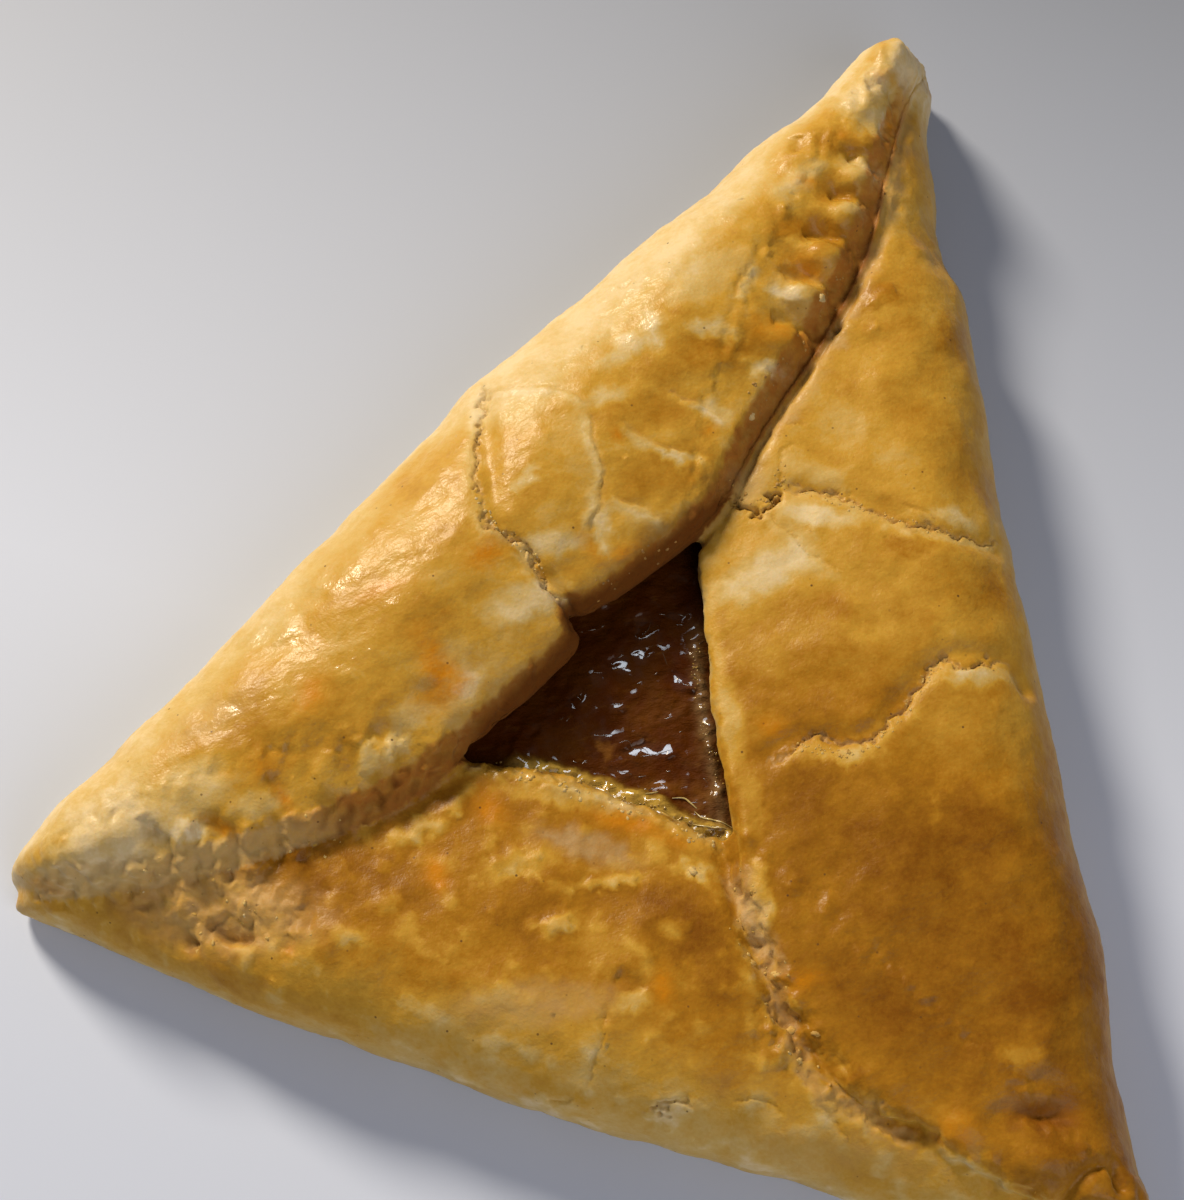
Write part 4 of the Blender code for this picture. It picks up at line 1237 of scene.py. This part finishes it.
# %% [markdown]
# ## Crumbs
# Dough breaks into crumbs along every torn line, and a few larger lumps sit in the seam. A crumb
# is a small ball of forty faces, squashed, turned and dented at random, and mostly sunk where it
# lands. Lists of corners and faces join all of them in one mesh at once, because bmesh slows
# down as a mesh grows. Each crumb has its own share of gold.

# %% Strew and shape crumbs
Crumb = namedtuple("Crumb", "x y size golden")
DENT = 0.24                     # the deepest dent of a crumb, in shares of its size


def strewn(points, count, width, sizes, golden):
    """Return crumbs strewn at random along a line."""
    line = smooth_line(points)
    crumbs = []
    for _ in range(count):
        step = random.randrange(len(line) - 1)
        x, y = line[step] + (line[step + 1] - line[step]) * random.random()
        crumbs.append(Crumb(x + random.gauss(0, width), y + random.gauss(0, width),
                            random.uniform(*sizes), random.uniform(*golden)))
    return crumbs


def small_ball():
    """Return the corners and faces of a ball of forty faces with a radius of 1."""
    bm = bmesh.new()
    bmesh.ops.create_uvsphere(bm, u_segments=8, v_segments=5, radius=1)
    corners = [vert.co.copy() for vert in bm.verts]
    faces = []
    for face in bm.faces:
        loop = [vert.index for vert in face.verts]
        start = loop.index(min(loop))
        faces.append(loop[start:] + loop[:start])
    bm.free()
    return corners, sorted(faces)       # sorted, because Blender lists them in any order


def add_crumbs(name, skin, crumbs, sunk, material, slot):
    """Add one piece of small dented balls that are partly sunk in a skin."""
    ball_corners, ball_faces = small_ball()
    corners, faces, golden = [], [], []
    for crumb in crumbs:
        place, facing = drop(skin, crumb.x, crumb.y)
        if place is None:
            continue
        squash = Matrix.Diagonal((random.uniform(0.8, 1.4), random.uniform(0.7, 1.0),
                                  random.uniform(0.5, 0.8)))
        turn = Matrix.Rotation(random.uniform(0, math.tau), 3, "Z")
        lie = facing.to_track_quat("Z", "Y").to_matrix() @ turn @ squash
        middle = place + facing * (0.5 - sunk) * crumb.size * MM
        faces += [[index + len(corners) for index in face] for face in ball_faces]
        for corner in ball_corners:
            dent = Vector([random.uniform(-DENT, DENT) for _ in range(3)])
            corners.append(middle + (lie @ corner + dent) * crumb.size * MM)
        golden += [crumb.golden] * len(ball_corners)
    mesh = bpy.data.meshes.new(name)
    mesh.from_pydata(corners, [], faces)
    mesh.shade_smooth()
    piece = new_piece(name, mesh)
    write(piece, "golden", np.array(golden))
    write(piece, "torn", np.full(len(corners), 0.5))
    paint(piece, material, slot)
    print(name, "has", len(faces) // len(ball_faces), "balls and", len(faces), "faces")


# %% The crust's crumbs
crust_skin = skin_of(crust)
crumbs = [Crumb(*row) for row in (
    (13.2, -40.6, 0.4, 0.4), (15.3, -41.1, 0.4, 0.3), (18.0, -45.2, 0.5, 0.4),
    (19.6, -47.6, 0.5, 0.3), (20.2, -45.1, 0.4, 0.5), (-2.4, 8.6, 0.5, 0.1),
    (0.2, 22.5, 0.5, 0.1), (-19.0, -11.4, 0.4, 0.1), (-17.6, -12.1, 0.4, 0.2),
    (5.6, -34.4, 0.5, 0.2))]
STREWN = (
    # the line, how many, how far they stray, their sizes and their gold
    (((-23.4, -8.8), (-20.6, -10.7), (-17.3, -11.9), (-15.9, -13.2)),
     30, 0.25, (0.08, 0.22), (0.0, 0.3)),
    (((-41.0, -50.6), (-33.0, -46.4), (-25.0, -40.8)), 18, 1.2, (0.10, 0.22), (0.1, 0.5)),
    (((-39.0, -52.4), (-33.0, -50.8), (-27.0, -49.6)), 14, 1.4, (0.12, 0.26), (0.1, 0.5)),
    (((9.5, -33.2), (12.5, -38.2), (15.6, -42.4), (19.0, -46.8), (23.0, -49.8)),
     30, 0.9, (0.10, 0.24), (0.2, 0.6)),
    (((-3.0, 1.8), (1.0, 0.8), (2.4, 2.6), (1.2, 4.8)), 40, 0.4, (0.08, 0.20), (0.4, 0.8)),
    (((-15.0, -31.4), (-8.0, -30.4), (-2.0, -30.8), (3.0, -31.0), (7.0, -31.0)),
     45, 0.45, (0.10, 0.28), (0.1, 0.5)),
    (((4.0, 3.0), (10.7, 2.8), (19.4, 2.9)), 60, 0.25, (0.06, 0.16), (0.2, 0.6)),
    (((11.2, -20.8), (17.2, -19.4), (20.6, -10.2)), 80, 0.25, (0.06, 0.18), (0.2, 0.6)),
    (((-2.8, 10.0), (-0.6, 19.0), (1.2, 27.0)), 30, 0.6, (0.08, 0.20), (0.5, 0.9)),
    (((-11.0, -15.0), (-8.6, -10.0), (-6.0, -5.0)), 20, 0.6, (0.08, 0.20), (0.7, 1.0)),
)
for strip in STREWN:
    crumbs += strewn(*strip)
add_crumbs("pastry_crumbs", crust_skin, crumbs, 0.8, PASTRY, "crust")

# %% [markdown]
# ## Syrup and fibres
# Where the jam meets the front flap its syrup has boiled into a clear olive-gold bead full of
# tiny bubbles, and strands of fruit float in it. On the jam itself short fibres break the
# surface and glint. Beads, strands and fibres are threads, and the bubbles are tiny crumbs.

# %% Syrup material
def syrup_finish(name, colour):
    """Return a wet clear material for beads and strands of syrup."""
    mix = Recipe(name)
    cloudy = mix.spread(mix.noise(0.7), 0.3, 0.7, 0.6, 1.4)
    shade = mix.add("ShaderNodeVectorMath", {"operation": "SCALE"}, Vector=colour, Scale=cloudy)
    return mix.finish(Base_Color=shade.outputs[0], Roughness=0.2, Coat_Weight=1.0,
                      Coat_Roughness=0.05, Normal=mix.bump(mix.noise(0.4), 0.05, 0.5))


OLIVE_SYRUP = syrup_finish("olive_gold_syrup", (0.30, 0.17, 0.03))
CLEAR_STRAND = syrup_finish("clear_fruit_strand", (0.42, 0.30, 0.10))
FIBRE = syrup_finish("jam_fibre", (0.06, 0.022, 0.005))

# %% Lay the syrup
jam_skin = skin_of(jam)
BEADS = (
    ((-11.6, -29.7), (-9.6, -29.4), (-7.8, -29.3)), ((-6.2, -29.3), (-4.8, -29.2), (-3.4, -29.6)),
    ((0.4, -29.6), (1.8, -29.9), (3.4, -30.1)),
)
lay_threads("syrup_beads", jam_skin, BEADS, 0.40, -0.3, OLIVE_SYRUP, "jam")
STRANDS = (
    ((2.2, -29.9), (3.4, -30.0)), ((4.2, -29.7), (5.8, -29.5), (7.3, -29.1)),
    ((3.9, -28.3), (4.8, -28.7), (6.2, -28.6), (7.6, -28.7)),
    ((1.6, -27.8), (2.6, -27.4), (3.4, -27.7), (4.0, -28.0)), ((-0.8, -28.3), (0.2, -27.6)),
)
lay_threads("clear_strands", jam_skin, STRANDS, 0.10, 0.6, CLEAR_STRAND, "jam")

# %% Lay the fibres and the bubbles
STRAY_FIBRES = 30
fibres = [
    ((-4.8, -24.4), (-4.0, -23.7), (-3.2, -24.2), (-2.4, -23.9), (-1.6, -24.4)),
    ((-2.6, -24.8), (-1.4, -24.3), (-0.6, -23.8), (0.5, -23.1)),
    ((-2.0, -16.3), (-0.9, -16.9), (-0.1, -16.9)),
    ((-7.9, -17.0), (-7.0, -17.3), (-6.2, -16.9)), ((-5.6, -11.9), (-5.6, -12.8), (-6.0, -13.6)),
    ((-6.0, -15.3), (-5.1, -15.5)), ((-7.1, -24.2), (-6.2, -23.9), (-5.4, -23.5)),
    ((-6.6, -20.9), (-5.8, -20.5)), ((-4.0, -26.8), (-2.6, -26.7)), ((-9.9, -21.0), (-9.3, -21.4)),
    ((-1.4, -20.6), (-0.8, -20.1)), ((0.0, -26.7), (0.8, -26.9)), ((-3.6, -14.6), (-2.8, -15.6)),
]
for _ in range(STRAY_FIBRES):
    x = random.uniform(-12, 4)
    y = random.uniform(-28, -10)
    heading = math.radians(random.gauss(40, 30))
    reach = random.uniform(0.3, 0.8)
    fibres.append(((x, y), (x + reach * math.cos(heading), y + reach * math.sin(heading))))
lay_threads("jam_fibres", jam_skin, fibres, 0.08, -0.4, FIBRE, "jam")
bubbles = strewn(((-15.0, -30.2), (-9.6, -29.4), (-3.0, -29.4), (1.2, -29.6), (7.0, -29.8)),
                 90, 0.35, (0.07, 0.16), (0.2, 0.4))
bubbles += strewn(((-0.9, -13.0), (1.4, -18.8), (5.4, -25.0)), 50, 0.25, (0.05, 0.12), (0.2, 0.4))
add_crumbs("syrup_bubbles", jam_skin, bubbles, 0.6, OLIVE_SYRUP, "jam")

# %% [markdown]
# ## Sizes
# Both boxes, the solid's and the visual model's, are printed side by side before the
# script ends. The visual model must stay inside the solid's own box.

# %% Sizes
seen_box = [list(corner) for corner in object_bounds()]
for name, box in (("cad", cad_box), ("visual", seen_box)):
    print(name, [[round(value / MM, 2) for value in corner] for corner in box])
